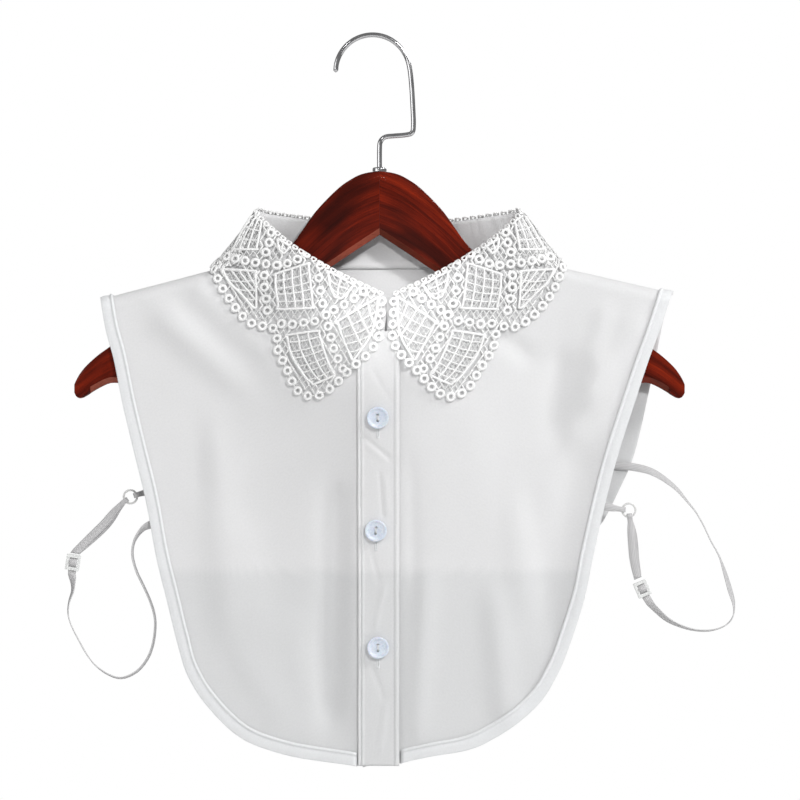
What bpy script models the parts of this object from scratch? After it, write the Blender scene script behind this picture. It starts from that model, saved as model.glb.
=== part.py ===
"""A detachable lace collar: a dickey with a button front, hanging on a wooden coat hanger.

Metres, +Z up. The front faces -Y and the wearer's left is +X. The origin is the inside of the
hook's crown, where a rail holds the hanger. Sizes and tables below are in millimetres.
"""

import math

import bpy
import numpy as np
from mathutils import Vector

MM = 0.001
FRONT, BACK = -1, 1  # the way that a panel faces along Y
RIGHT, LEFT = -1, 1  # the wearer's sides, along X

# Cloth and seams
CLOTH = 1.0  # wall of the panels and the stand
LACE = 1.2  # wall of the lace
BAND = 0.9  # wall of the bound edges
BAND_WIDTH = 8.3
SEAM = 0.34  # between pieces that are sewn together
LIE = 0.45  # between a piece and what it lies on

# How the cloth hangs over the hanger
MEASURE_POINTS = 400
MIDDLE = 6.0  # x of the collar's centre line
ROLL_SIDE = 8.2  # radius of the cloth over the shoulders
ROLL_FRONT = 28.0  # the same below the throat
ROLL_BACK = 20.0  # the same at the nape
ROLL_REACH = 115.0  # how far from the middle the neck holds the cloth open
HANG = 7.0  # half the distance between front and back where they hang
EASE = 160.0  # the fall over which the cloth comes back to that
LAP = 1.0  # each front's step outwards or inwards where they overlap
LAP_FULL, LAP_NONE = 16.0, 42.0
RIGHT_LAP_X, LEFT_LAP_X = 13.0, -11.5  # where each front's lap ends
NORMAL_STEP = 0.4  # how far apart two points are that give the cloth's direction
PAST_FOLD = 1.5  # how far a fold fades out past its ends, in half widths

# Rows and columns of the grids
CURVE_STEPS = 12
FRONT_ROWS, FRONT_NECK_ROWS, FRONT_COLUMNS = 29, 24, 8
BACK_ROWS, BACK_NECK_ROWS, BACK_COLUMNS = 24, 15, 7
PLACKET_ROWS, PLACKET_COLUMNS = 21, 4
STAND_COLUMNS = 4
LACE_COLUMNS = 8
STRAP_POINTS, FOLD_STRAP_POINTS, TAB_POINTS = 46, 7, 5
HOOK_POINTS, HOOK_ARC_POINTS = 54, 14

# Placket and buttons
PLACKET_X = (-14.5, 13.5)
PLACKET_TOP = -206.0
PLACKET_HEM = -501.0
BUTTON_RADIUS = 7.5
BUTTON_HEIGHT = 2.8
BUTTON_PROFILE = (  # radius, height, from the middle of the foot to the middle of the dish
    (0, 0.0),
    (5.6, 0.0),
    (7.2, 0.7),
    (BUTTON_RADIUS, 1.5),
    (7.0, 2.5),
    (6.2, BUTTON_HEIGHT),
    (5.4, 2.4),
    (4.6, 1.9),
    (0, 1.7),
)
HOLE_RADIUS, HOLE_FROM_MIDDLE = 1.0, 2.0
HOLE_DEPTH = (-2, 5)
BUTTONS = (  # x, z
    (-1.0, -261.5),
    (-2.4, -338.8),
    (-1.0, -419.5),
)

# The shoulder line, where front meets back: x, z
SHOULDER = (
    (-205.0, -184.1),
    (-150.0, -169.8),
    (-96.0, -155.7),
    (-60.0, -146.6),
    (-20.0, -135.0),
    (6.0, -130.0),
    (32.0, -134.6),
    (72.0, -146.0),
    (108.0, -155.0),
    (150.0, -164.6),
    (215.0, -179.5),
)

# Each panel's bound edge, from the shoulder down the armhole and along the hem: x, z
RIGHT_FRONT_EDGE = (
    (-192.2, None),
    (-188.0, -201.5),
    (-182.5, -222.0),
    (-176.3, -253.0),
    (-168.7, -285.0),
    (-160.3, -320.0),
    (-153.5, -357.0),
    (-146.0, -388.0),
    (-138.3, -419.0),
    (-131.4, -440.0),
    (-118.3, -460.2),
    (-96.9, -480.9),
    (-72.8, -491.3),
    (-40.0, -498.0),
    (-15.6, -501.4),
)
LEFT_FRONT_EDGE = (
    (202.5, None),
    (192.5, -201.5),
    (185.0, -222.0),
    (174.8, -253.0),
    (164.6, -285.0),
    (155.3, -320.0),
    (147.0, -357.0),
    (140.5, -388.0),
    (130.5, -419.0),
    (121.5, -440.0),
    (108.0, -460.2),
    (81.1, -480.9),
    (56.2, -491.3),
    (14.6, -499.8),
)
BACK_EDGE = (
    (202.5, None),
    (197.0, -192.5),
    (188.0, -236.7),
    (177.0, -285.0),
    (165.9, -311.9),
    (152.1, -337.4),
    (134.9, -349.8),
    (103.2, -362.3),
    (60.0, -366.8),
    (12.0, -368.0),
    (-32.8, -371.2),
    (-85.2, -368.5),
    (-112.1, -361.6),
    (-138.3, -345.7),
    (-151.5, -329.0),
    (-160.5, -309.0),
    (-170.0, -280.0),
    (-182.0, -232.0),
    (-188.0, -201.5),
    (-192.2, None),
)

# The collar's half, from centre front (0) over the shoulder (1.5) to centre back (3):
# step, neck seam d and z, fold d and z, with d measured from the centre line
COLLAR = (
    (0.00, 0.0, -203.0, 0.0, -180.4),
    (0.25, 37.0, -192.0, 33.0, -164.5),
    (0.50, 68.0, -177.0, 60.0, -148.5),
    (0.75, 84.0, -167.0, 74.0, -137.8),
    (1.00, 94.0, -161.0, 83.0, -130.0),
    (1.50, 102.0, -155.5, 89.7, -120.0),
    (2.00, 90.0, -156.7, 80.0, -121.5),
    (2.50, 50.0, -155.0, 45.0, -126.0),
    (3.00, 0.0, -154.6, 0.0, -129.7),
)
SHOULDER_STEP = 1.5
LAST_STEP = 3.0
FRONT_NECK_FROM, BACK_NECK_FROM = 1.4, 1.6  # the steps on each side of the shoulder
RIGHT_NECK_END, LEFT_NECK_END = 0.14, 0.07  # each front's last step, at its lap
SHOULDER_EASE = 0.12  # steps on each side of the shoulder over which front turns into back
OVER_SHOULDER = 0.101  # the steps on each side of it whose lace is drawn over the shoulder
STAND_LIFT = 1.3  # from the neck seam up to the stand's lower edge
FOLD_DEPTH = 0.87  # depth of the fold, as a share of the neck seam's
FRONT_LEAN = 0.07  # how the centre front drifts to the wearer's right as it falls
FRONT_LEAN_FROM = -180.0

# The lace's scalloped edge over the same steps: step, d, and z of the cloth under it, or where
# it's positive the drop below the shoulder line. A scallop ends at 1, 2 and 3, and the middle one
# crosses the shoulder line at 1.5.
SCALLOPS = (
    (0.00, 0.8, -209.5),
    (0.12, 8.5, -221.0),
    (0.25, 20.0, -231.5),
    (0.38, 33.0, -245.0),
    (0.50, 45.5, -251.0),
    (0.62, 59.5, -246.0),
    (0.75, 69.0, -230.0),
    (0.90, 77.5, -214.0),
    (1.00, 78.9, -203.5),
    (1.10, 88.5, -203.0),
    (1.25, 103.0, -194.0),
    (1.34, 112.5, -182.5),
    (1.40, 118.0, 14.5),
    (1.45, 121.4, 5.9),
    (1.467, 122.2, 2.9),
    (1.484, 122.8, 0.8),
    (1.50, 123.0, 0.001),
    (1.516, 122.9, 0.8),
    (1.533, 122.7, 2.9),
    (1.55, 122.4, 5.9),
    (1.60, 121.0, 13.5),
    (1.70, 117.0, -179.5),
    (1.84, 109.0, -184.5),
    (2.00, 101.0, -184.0),
    (2.12, 94.0, -194.0),
    (2.30, 79.0, -202.5),
    (2.50, 58.0, -204.5),
    (2.75, 24.0, -201.0),
    (3.00, 0.6, -186.0),
)
# The steps at which the stand and the lace are shaped
STEPS = (
    0.004, 0.06, 0.12, 0.19, 0.25, 0.31, 0.38, 0.44, 0.50, 0.56, 0.62, 0.69, 0.75, 0.82, 0.90, 1.00,
    1.10, 1.18, 1.26, 1.34, 1.40, 1.45, 1.467, 1.484, 1.50, 1.516, 1.533, 1.55, 1.60, 1.70, 1.84,
    2.00, 2.12, 2.30, 2.50, 2.62, 2.75, 2.88, 3.00,
)
LACE_APART = 0.9  # from each half's end to the centre line
FALL_ROLL = 3.2  # how far the lace stands out over the fold
FALL_RISE = 2.0  # how far it stands over the stand's top
FALL_CLEAR = 2.3  # middle of the lace to middle of the cloth under it
FALL_CLEAR_PLACKET = 4.4
FALL_DROP = 2.2  # from the fold's top to the next row of the lace
PLACKET_ABOVE, PLACKET_BESIDE = 10, 6  # how far round the placket the lace clears it
STAND_NEAR = 9.0  # the stand's reach in which the lace is checked against it
SMOOTHINGS = 4
DEPTH_WEIGHT = 4  # the collar is narrow in depth, so depth counts for more in what is outward

# Soft folds: side, x and z where it starts and ends, half width, how far it stands out
FOLDS = (
    (FRONT, -132.0, -184.0, -92.0, -217.0, 13.0, 2.2),
    (FRONT, 157.0, -214.0, 124.0, -250.0, 15.0, 2.8),
    (FRONT, 139.0, -262.0, 141.0, -288.0, 12.0, -1.6),
    (FRONT, -124.0, -276.0, -122.0, -306.0, 9.0, -1.3),
    (FRONT, 31.0, -436.0, 25.0, -474.0, 9.0, 1.8),
    (FRONT, 80.0, -392.0, 86.0, -456.0, 10.0, 2.2),
    (FRONT, -44.0, -396.0, -40.0, -426.0, 11.0, -1.4),
    (BACK, 46.0, -236.0, 62.0, -338.0, 15.0, 2.4),
    (BACK, -58.0, -226.0, -82.0, -330.0, 15.0, 2.2),
    (BACK, -2.0, -262.0, 4.0, -346.0, 12.0, 1.8),
)

# Hanger, symmetrical about x = 0: x, top z, bottom z, half thickness
HANGER = (
    (0.15, -92.5, -135.8, 6.5),
    (7.0, -93.1, -140.4, 6.5),
    (14.0, -95.0, -145.0, 6.5),
    (20.5, -98.5, -149.3, 6.5),
    (27.0, -103.0, -153.7, 6.5),
    (36.0, -111.5, -159.7, 6.5),
    (45.0, -121.5, -165.2, 6.5),
    (53.0, -133.0, -169.6, 6.5),
    (60.0, -142.5, -173.4, 6.5),
    (68.0, -149.8, -177.8, 6.5),
    (80.0, -155.3, -184.3, 6.5),
    (96.0, -158.6, -193.1, 6.5),
    (108.0, -162.2, -199.6, 6.5),
    (120.0, -167.0, -206.2, 6.5),
    (135.0, -175.6, -214.4, 6.5),
    (150.0, -185.5, -222.6, 6.5),
    (168.0, -198.8, -232.4, 6.5),
    (178.0, -206.9, -237.6, 6.5),
    (186.0, -213.4, -238.2, 6.5),
    (193.5, -218.8, -241.5, 6.5),
    (201.5, -226.0, -246.3, 6.1),
    (206.0, -231.5, -248.6, 5.0),
    (208.6, -236.0, -247.4, 3.6),
    (210.0, -239.2, -244.6, 2.0),
)
HANGER_EDGE = 5.0  # radius along the arms' edges

# Hook: wire bent in the XZ plane
HOOK_RADIUS = 1.7
HOOK_ARC_RADIUS = 25.5
HOOK_ARC_MIDDLE = (-4.8, -23.31)
HOOK_ARC_FROM, HOOK_ARC_TO = math.radians(181), math.radians(19)
HOOK_SHANK = (  # x, z, from the arc's end down to the nut
    (21.0, -22.0),
    (22.2, -34.0),
    (23.0, -48.0),
    (23.4, -60.0),
    (22.4, -65.4),
    (18.0, -66.9),
    (10.0, -67.6),
    (3.8, -68.4),
    (0.6, -71.6),
    (0.0, -77.0),
    (0.0, -89.0),
)
NUT_RADIUS = 4.85
NUT_Z = (-92.1, -89.4)

# Elastic straps
STRAP_WIDTH = 5.5
STRAP = 1.0
RING_RADIUS = 4.6  # to the middle of its wire
RING_WIRE = 0.7
SLIDER = (9.6, 11.0, 1.8)  # across, along, thick
SLIDER_SLOT = (6.6, 2.2)
SLIDER_BAR = 2.0  # between its slots
STRAP_INSIDE = 6.0  # depth of a strap where it is sewn inside a panel
STRAP_COMES_OUT = (0.12, 0.6)  # shares of the single run over which it comes to the middle
FOLDED_STRAP = 0.8  # thickness of the doubled run and the tab
LAYERS_APART = (0.85, 1.5)  # from the doubled run's middle to each layer, at slider and ring
ROUND_WIRE = 1.3  # from a ring's wire to the middle of the strap round it
RING_DEPTH = 3.0
TAB_STEP = 0.7  # the tab's step towards the middle as it leaves the panel
TAIL, TAIL_DEPTH = 3.2, 1.5  # end of the tab past the ring, and its depth behind it
# The single run from the panel to the slider: x, z, turn from flat (0) to edge on (90)
RIGHT_STRAP = (
    (-147.0, -332.6, 0),
    (-152.0, -334.0, 0),
    (-157.0, -335.3, 10),
    (-163.2, -338.8, 56),
    (-168.7, -347.0, 80),
    (-170.1, -356.7, 84),
    (-167.3, -367.8, 84),
    (-162.5, -378.1, 84),
    (-157.7, -389.2, 84),
    (-154.9, -399.5, 84),
    (-154.9, -409.9, 82),
    (-157.0, -420.9, 80),
    (-161.1, -429.9, 78),
    (-168.0, -437.5, 76),
    (-177.7, -441.6, 75),
    (-186.6, -439.5, 76),
    (-195.6, -433.3, 80),
    (-201.8, -425.7, 84),
    (-207.3, -416.1, 84),
    (-212.9, -405.0, 83),
    (-214.9, -396.8, 80),
    (-214.2, -389.2, 76),
    (-211.8, -381.6, 62),
    (-211.6, -374.9, 36),
    (-212.6, -368.2, 10),
)
LEFT_STRAP = (
    (155.0, -295.0, 0),
    (162.0, -295.0, 0),
    (169.4, -295.7, 0),
    (175.6, -296.2, 10),
    (186.6, -298.8, 30),
    (195.6, -303.6, 46),
    (205.3, -311.2, 66),
    (212.9, -320.2, 80),
    (218.4, -327.1, 84),
    (223.9, -336.7, 84),
    (228.7, -347.0, 84),
    (234.3, -357.4, 80),
    (238.4, -369.2, 60),
    (241.8, -380.9, 54),
    (244.4, -390.4, 76),
    (243.9, -398.8, 84),
    (239.1, -405.0, 82),
    (230.1, -408.5, 78),
    (219.8, -408.8, 76),
    (209.4, -406.4, 68),
    (199.1, -401.6, 52),
    (190.8, -394.4, 36),
    (184.4, -387.4, 18),
)
# The doubled run from the slider to the ring: x, z
RIGHT_FOLD = (
    (-210.6, -355.6),
    (-200.1, -346.0),
    (-189.4, -335.6),
    (-182.2, -326.4),
    (-177.0, -320.4),
)
LEFT_FOLD = (
    (178.2, -372.8),
    (175.8, -360.0),
    (174.6, -347.0),
    (173.2, -336.0),
    (172.4, -331.0),
)
RIGHT_RING, LEFT_RING = (-172.2, -316.7), (171.8, -325.7)
# The tab from the ring to the other panel: x, z
RIGHT_TAB = ((-166.6, -315.0), (-160.0, -313.2), (-154.0, -311.5), (-147.0, -309.6))
LEFT_TAB = ((166.0, -325.0), (160.5, -324.0), (154.0, -323.0), (144.0, -321.6))


def material(name, colour, roughness, metallic=0.0):
    made = bpy.data.materials.new(name)
    made.use_nodes = True
    shader = made.node_tree.nodes["Principled BSDF"]
    shader.inputs["Base Color"].default_value = (*colour, 1)
    shader.inputs["Roughness"].default_value = roughness
    shader.inputs["Metallic"].default_value = metallic
    made.diffuse_color = (*colour, 1)
    return made


def add_object(name, data, look):
    """Puts a mesh or a curve in the scene with its material."""
    piece = bpy.data.objects.new(name, data)
    data.materials.append(look)
    bpy.context.scene.collection.objects.link(piece)
    return piece


def add_mesh(name, points, faces, look):
    """A closed mesh from points in millimetres, turned so that its faces point out."""
    points = np.asarray(points, float)
    volume = 0.0
    for face in faces:
        for b, c in zip(face[1:], face[2:]):
            volume += np.dot(points[face[0]], np.cross(points[b], points[c]))
    if volume < 0:
        faces = [face[::-1] for face in faces]
    mesh = bpy.data.meshes.new(name)
    mesh.from_pydata([tuple(p) for p in points * MM], [], faces)
    mesh.update()
    return add_object(name, mesh, look)


def smooth(points, count, at=None):
    """Points along a smooth curve through the given ones, evenly spaced or at the given lengths."""
    given = np.array(points, float)
    padded = np.vstack([2 * given[0] - given[1], given, 2 * given[-1] - given[-2]])
    fine = []
    for a, b, c, d in zip(padded, padded[1:], padded[2:], padded[3:]):
        for t in np.linspace(0, 1, CURVE_STEPS, endpoint=False):
            bend = (2 * a - 5 * b + 4 * c - d) * t**2 + (3 * b - a - 3 * c + d) * t**3
            fine.append(0.5 * (2 * b + (c - a) * t + bend))
    fine = np.array(fine + [given[-1]])
    run = np.concatenate([[0], np.cumsum(np.linalg.norm(np.diff(fine, axis=0), axis=1))])
    if at is None:
        at = np.linspace(0, run[-1], count)
    else:
        at = np.concatenate([at, np.linspace(at[-1], run[-1], count - len(at) + 1)[1:]])
    return np.column_stack([np.interp(at, run, column) for column in fine.T])


def smoothstep(low, high, value):
    t = np.clip((value - low) / (high - low), 0, 1)
    return t * t * (3 - 2 * t)


def shoulder(x):
    """Height of the shoulder line."""
    return np.interp(x, [row[0] for row in SHOULDER], [row[1] for row in SHOULDER])


def roll(x, side):
    """Radius of the cloth's roll over the shoulder line."""
    most = ROLL_FRONT if side == FRONT else ROLL_BACK
    share = np.minimum(1, np.abs(x - MIDDLE) / ROLL_REACH)
    return ROLL_SIDE + (most - ROLL_SIDE) * np.cos(math.pi / 2 * share) ** 2


def fold_height(x, z, side):
    """How far the soft folds lift the cloth outwards."""
    height = np.zeros(np.broadcast(x, z).shape)
    for panel, x0, z0, x1, z1, width, out in FOLDS:
        if panel != side:
            continue
        length = math.hypot(x1 - x0, z1 - z0)
        along = ((x - x0) * (x1 - x0) + (z - z0) * (z1 - z0)) / length
        across = ((x - x0) * (z1 - z0) - (z - z0) * (x1 - x0)) / length
        past = np.maximum(0, np.maximum(-along, along - length))
        height += out * np.exp(-((across / width) ** 2) - (past / (PAST_FOLD * width)) ** 2)
    return height


def middle(x, q, side, lap=0):
    """Points on a panel's middle, q below the shoulder line as measured along the cloth."""
    r = roll(x, side)
    turn = np.minimum(q / r, math.pi / 2)
    fall = np.maximum(q - r * math.pi / 2, 0)
    z = shoulder(x) - r * (1 - np.cos(turn)) - fall
    hanging = HANG + (r - HANG) * np.exp(-((fall / EASE) ** 2))
    depth = np.where(fall > 0, hanging, r * np.sin(turn)) + fold_height(x, z, side)
    depth = depth + lap * LAP * (1 - smoothstep(LAP_FULL, LAP_NONE, np.abs(x)))
    return np.stack(np.broadcast_arrays(x, side * depth, z), axis=-1)


def outward(x, q, side, lap=0):
    """The panel's outward direction there."""
    step = NORMAL_STEP
    across = middle(x + step, q, side, lap) - middle(x - step, q, side, lap)
    down = middle(x, q + step, side, lap) - middle(x, np.maximum(q - step, 0), side, lap)
    normal = np.cross(across, down) * side
    return normal / np.linalg.norm(normal, axis=-1, keepdims=True)


def below(x, z, side):
    """Distance along the cloth from the shoulder line down to the height z."""
    r = roll(x, side)
    drop = np.maximum(shoulder(x) - z, 0)
    rolled = r * np.arccos(np.clip(1 - drop / r, 0, 1))
    return np.where(drop < r, rolled, r * math.pi / 2 + drop - r)


def wall(name, outer, inner, look):
    """A closed shell between two grids of points."""
    rows, columns = outer.shape[:2]
    points = np.vstack([outer.reshape(-1, 3), inner.reshape(-1, 3)])
    half = rows * columns
    faces = []
    for i in range(rows - 1):
        for j in range(columns - 1):
            a, b = i * columns + j, i * columns + j + 1
            c, d = b + columns, a + columns
            faces += [(a, b, c), (a, c, d)]
            faces += [(half + c, half + b, half + a), (half + d, half + c, half + a)]
        for j in (0, columns - 1):
            a, b = i * columns + j, (i + 1) * columns + j
            edge = (a, b, half + b, half + a)
            faces.append(edge if j == 0 else edge[::-1])
    for i in (0, rows - 1):
        for j in range(columns - 1):
            a, b = i * columns + j, i * columns + j + 1
            edge = (b, a, half + a, half + b)
            faces.append(edge if i == 0 else edge[::-1])
    return add_mesh(name, points, faces, look)


def sheet(name, x, q, side, lap, thickness, out, look):
    """A wall of cloth on a panel's form, its middle lying `out` outside the panel's own."""
    centre = middle(x, q, side, lap)
    normal = outward(x, q, side, lap)
    outer = centre + normal * (out + thickness / 2)
    inner = centre + normal * (out - thickness / 2)
    return wall(name, outer, inner, look)


def collar_curve(step, side, d_column, z_column):
    """x and z of a collar curve at the given steps of its half."""
    steps = [row[0] for row in COLLAR]
    d = np.interp(step, steps, [row[d_column] for row in COLLAR])
    z = np.interp(step, steps, [row[z_column] for row in COLLAR])
    return centre_x(z) + side * d, z


def centre_x(z):
    return MIDDLE - FRONT_LEAN * np.maximum(0, FRONT_LEAN_FROM - z)


def neck_points(step, side):
    """Neck seam in space; it lies on the panels' middle."""
    x, z = collar_curve(step, side, 1, 2)
    facing = np.where(step < SHOULDER_STEP, FRONT, BACK)
    depth = np.where(
        facing == FRONT,
        np.abs(middle(x, below(x, z, FRONT), FRONT)[..., 1]),
        np.abs(middle(x, below(x, z, BACK), BACK)[..., 1]),
    )
    near = np.abs(step - SHOULDER_STEP)
    return np.stack([x, facing * depth * np.minimum(1, near / SHOULDER_EASE), z], axis=-1)


def fold_points(step, side):
    """The line where the collar turns over."""
    x, z = collar_curve(step, side, 3, 4)
    depth = neck_points(step, side)[..., 1] * FOLD_DEPTH
    return np.stack([x, depth, z], axis=-1)


def panel_grid(edge, neck, side, rows, roll_rows, columns):
    """x and q of a panel's grid, in rows that fan out from its neckline to its bound edge."""
    outer = [(x, 0.5 * SEAM if z is None else float(below(x, z, side))) for x, z in edge]
    outline = smooth(outer, rows, roll_rows)
    neckline = smooth(neck, rows, np.multiply(roll_rows, NECK_ROLL))
    return fan(outline, neckline, columns)


def fan(outline, neckline, columns):
    """Rows of points from each neckline point to the bound edge, whose last step is the band."""
    along = np.gradient(outline, axis=0)
    normal = np.stack([along[:, 1], -along[:, 0]], axis=1)
    normal /= np.linalg.norm(normal, axis=1, keepdims=True)
    inward = neckline - outline
    inward /= np.linalg.norm(inward, axis=1, keepdims=True)
    facing = np.abs(np.sum(normal * inward, axis=1, keepdims=True))
    band = outline + inward * BAND_WIDTH / np.maximum(facing, BAND_LEAST)
    share = np.linspace(0, 1, columns)[None, :, None]
    grid = neckline[:, None] * (1 - share) + band[:, None] * share
    grid = np.concatenate([grid, outline[:, None]], axis=1)
    return grid[..., 0], grid[..., 1]


ROLL_ROWS = (0.0, 3.3, 6.6, 9.9, 13.2, 18.0, 27.0)  # lengths down the edge where the cloth rolls
NECK_ROLL, BACK_NECK_ROLL = 1.15, 0.92  # the same rows on the neckline, as shares of these lengths
BAND_LEAST = 0.5  # least share of the band's width that a slanting row may show


def neckline_of(side, steps, facing):
    """x and q along the neck seam, starting a half seam below the shoulder line."""
    x, z = collar_curve(steps, side, 1, 2)
    return np.column_stack([x, np.maximum(below(x, z, facing), 0.5 * SEAM)])


def front(name, edge, side, lap_x, lap, look_cloth, look_band):
    """One front: its panel and the band bound over its armhole and hem."""
    last = RIGHT_NECK_END if side == RIGHT else LEFT_NECK_END
    even = np.linspace(FRONT_NECK_FROM, last, FRONT_NECK_ROWS)
    steps = np.concatenate([[SHOULDER_STEP], even])
    neck = neckline_of(side, steps, FRONT)
    neck[0, 1] = 0.5 * SEAM
    x, q = panel_grid(edge, neck, FRONT, FRONT_ROWS, ROLL_ROWS, FRONT_COLUMNS)
    # The lap runs on past the centre, under or over the other front, and ends straight.
    throat, rise = COLLAR[0][2], (COLLAR[1][2] - COLLAR[0][2]) / COLLAR[1][1]
    down = (q[-1] - q[-1][0]) / (q[-1][-1] - q[-1][0])
    hem = q[-1][-1]
    for lapped in (centre_x(throat), lap_x):
        top = float(below(lapped, throat + rise * abs(lapped - centre_x(throat)), FRONT))
        x = np.vstack([x, np.full(len(down), lapped)])
        q = np.vstack([q, top + down * (hem - top)])
    sheet(name, x, q, FRONT, lap, CLOTH, 0.0, look_cloth)
    out = (CLOTH + BAND) / 2 + LIE
    sheet(name + "_band", x[:-2, -2:], q[:-2, -2:], FRONT, lap, BAND, out, look_band)


def back(look_cloth, look_band):
    """The back and its band, in one piece from shoulder to shoulder."""
    half = np.concatenate([
        [SHOULDER_STEP], np.linspace(BACK_NECK_FROM, LAST_STEP, BACK_NECK_ROWS)])
    neck = np.vstack([
        neckline_of(LEFT, half, BACK),
        neckline_of(RIGHT, half[-2::-1], BACK),
    ])
    neck[[0, -1], 1] = 0.5 * SEAM
    outer = [(x, 0.5 * SEAM if z is None else float(below(x, z, BACK))) for x, z in BACK_EDGE]
    lengths = even_between(outer, ROLL_ROWS, BACK_ROWS)
    outline = smooth(outer, len(lengths), lengths)
    lengths = even_between(neck, np.multiply(ROLL_ROWS, BACK_NECK_ROLL), BACK_ROWS)
    neckline = smooth(neck, len(lengths), lengths)
    x, q = fan(outline, neckline, BACK_COLUMNS)
    sheet("back", x, q, BACK, 0, CLOTH, 0.0, look_cloth)
    out = (CLOTH + BAND) / 2 + LIE
    sheet("back_band", x[:, -2:], q[:, -2:], BACK, 0, BAND, out, look_band)


def even_between(points, ends, count):
    """Lengths along a line: the given ones at both ends, and `count` even ones between."""
    fine = smooth(points, MEASURE_POINTS)
    total = np.linalg.norm(np.diff(fine, axis=0), axis=1).sum() - 1e-6
    inner = np.linspace(ends[-1], total - ends[-1], count + 2)[1:-1]
    return np.concatenate([ends, inner, total - np.array(ends)[::-1]])


def placket(look):
    x = np.linspace(*PLACKET_X, PLACKET_COLUMNS)
    top = below(x, PLACKET_TOP, FRONT)
    hem = below(x, PLACKET_HEM, FRONT)
    down = np.linspace(0, 1, PLACKET_ROWS)[:, None]
    q = top + (hem - top) * down
    out = CLOTH + LIE
    sheet("placket", np.broadcast_to(x, q.shape), q, FRONT, 1, CLOTH, out, look)


def collar_stand(look):
    """The band of cloth round the neck that carries the lace, open at centre front."""
    steps = np.array(STEPS)
    rings = []
    for side, run in ((LEFT, steps), (RIGHT, steps[-2::-1])):
        neck, fold = neck_points(run, side), fold_points(run, side)
        up = fold - neck
        lift = STAND_LIFT / np.linalg.norm(up, axis=1, keepdims=True)
        share = np.linspace(0, 1, STAND_COLUMNS)[None, :, None]
        rings.append(neck[:, None] + up[:, None] * (lift[:, None] + (1 - lift[:, None]) * share))
    grid = np.concatenate(rings)
    normal = grid_normals(grid)
    wall("collar_stand", grid + normal * CLOTH / 2, grid - normal * CLOTH / 2, look)
    return grid


def grid_normals(grid):
    """Unit normals of a grid of points, pointing away from the collar's axis."""
    normal = np.cross(np.gradient(grid, axis=0), np.gradient(grid, axis=1))
    normal /= np.linalg.norm(normal, axis=-1, keepdims=True)
    away = (grid - (MIDDLE, 0, 0)) * (1, DEPTH_WEIGHT, 0)
    return normal if np.sum(normal * away) > 0 else -normal


def lace_grid(side, stand):
    """The lace's middle surface: over the fold, then out and down to its scalloped edge."""
    step = np.array(STEPS)
    rows, columns = len(step), LACE_COLUMNS
    fold = fold_points(step, side)
    for end in (0, -1):
        fold[end, 0] = centre_x(fold[end, 2]) + side * LACE_APART
    d = np.interp(step, [row[0] for row in SCALLOPS], [row[1] for row in SCALLOPS])
    over = np.abs(step - SHOULDER_STEP) <= OVER_SHOULDER
    level = [row[2] for row in SCALLOPS if row[2] < 0]
    z = np.interp(step, [row[0] for row in SCALLOPS if row[2] < 0], level)
    drop = np.interp(step, [row[0] for row in SCALLOPS if row[2] > 0],
                     [row[2] for row in SCALLOPS if row[2] > 0])
    x = np.where(over, MIDDLE, centre_x(z)) + side * d
    z = np.where(over, shoulder(x) - drop, z)
    facing = np.where(step < SHOULDER_STEP, FRONT, BACK)
    ring = np.gradient(fold_points(step, side), axis=0)
    away = np.stack([ring[:, 1], -ring[:, 0], np.zeros(rows)], axis=1)
    away /= np.linalg.norm(away, axis=1, keepdims=True)
    away *= np.where(np.sum(away * (fold - (MIDDLE, 0, 0)), axis=1) > 0, 1, -1)[:, None]
    away[[0, -1], 0] = 0
    grid = np.zeros((rows, columns, 3))
    grid[:, 0] = fold + (0, 0, FALL_RISE)
    grid[:, 1] = fold + away * FALL_ROLL + (0, 0, FALL_RISE - FALL_DROP)
    edge = np.array([resting(a, b, f, FALL_CLEAR) for a, b, f in zip(x, z, facing)])
    for j in range(2, columns):
        share = (j - 1) / (columns - 2)
        grid[:, j] = grid[:, 1] + (edge - grid[:, 1]) * share
    for _ in range(SMOOTHINGS):
        push_out(grid, facing, stand)
        inside = grid[1:-1, 2:-1, 1]
        around = grid[:-2, 2:-1, 1] + grid[2:, 2:-1, 1] + grid[1:-1, 1:-2, 1] + grid[1:-1, 3:, 1]
        grid[1:-1, 2:-1, 1] = 0.5 * inside + 0.125 * around
    push_out(grid, facing, stand)
    return grid


def resting(x, z, side, clear):
    """The point that lies `clear` outside a panel, over its middle at x and z."""
    q = below(x, z, side)
    return middle(x, q, side) + outward(x, q, side) * clear


def push_out(grid, facing, stand):
    """Moves the lace along Y until it clears the panels and the stand."""
    samples = stand.reshape(-1, 3)
    for i, j in np.ndindex(*grid.shape[:2]):
        x, y, z = grid[i, j]
        side = facing[i]
        if j < 2 or STEPS[i] == SHOULDER_STEP:
            continue
        need = 0.0
        if z < shoulder(x):
            over_placket = side == FRONT and z < PLACKET_TOP + PLACKET_ABOVE
            over_placket &= PLACKET_X[0] - PLACKET_BESIDE < x < PLACKET_X[1] + PLACKET_BESIDE
            clear = FALL_CLEAR_PLACKET if over_placket else FALL_CLEAR
            need = abs(float(middle(x, below(x, z, side), side)[1])) + clear
        distance = np.hypot(samples[:, 0] - x, samples[:, 2] - z)
        near = samples[(distance < STAND_NEAR) & (samples[:, 1] * side > 0)]
        if len(near):
            need = max(need, np.abs(near[:, 1]).max() + FALL_CLEAR)
        grid[i, j, 1] = side * max(abs(y), need)


def lace(look, stand):
    """The two mirrored falls of lace, which meet at centre front and centre back."""
    for side, name in ((RIGHT, "lace_right"), (LEFT, "lace_left")):
        grid = lace_grid(side, stand)
        normal = grid_normals(grid)
        wall(name, grid + normal * LACE / 2, grid - normal * LACE / 2, look)


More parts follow.
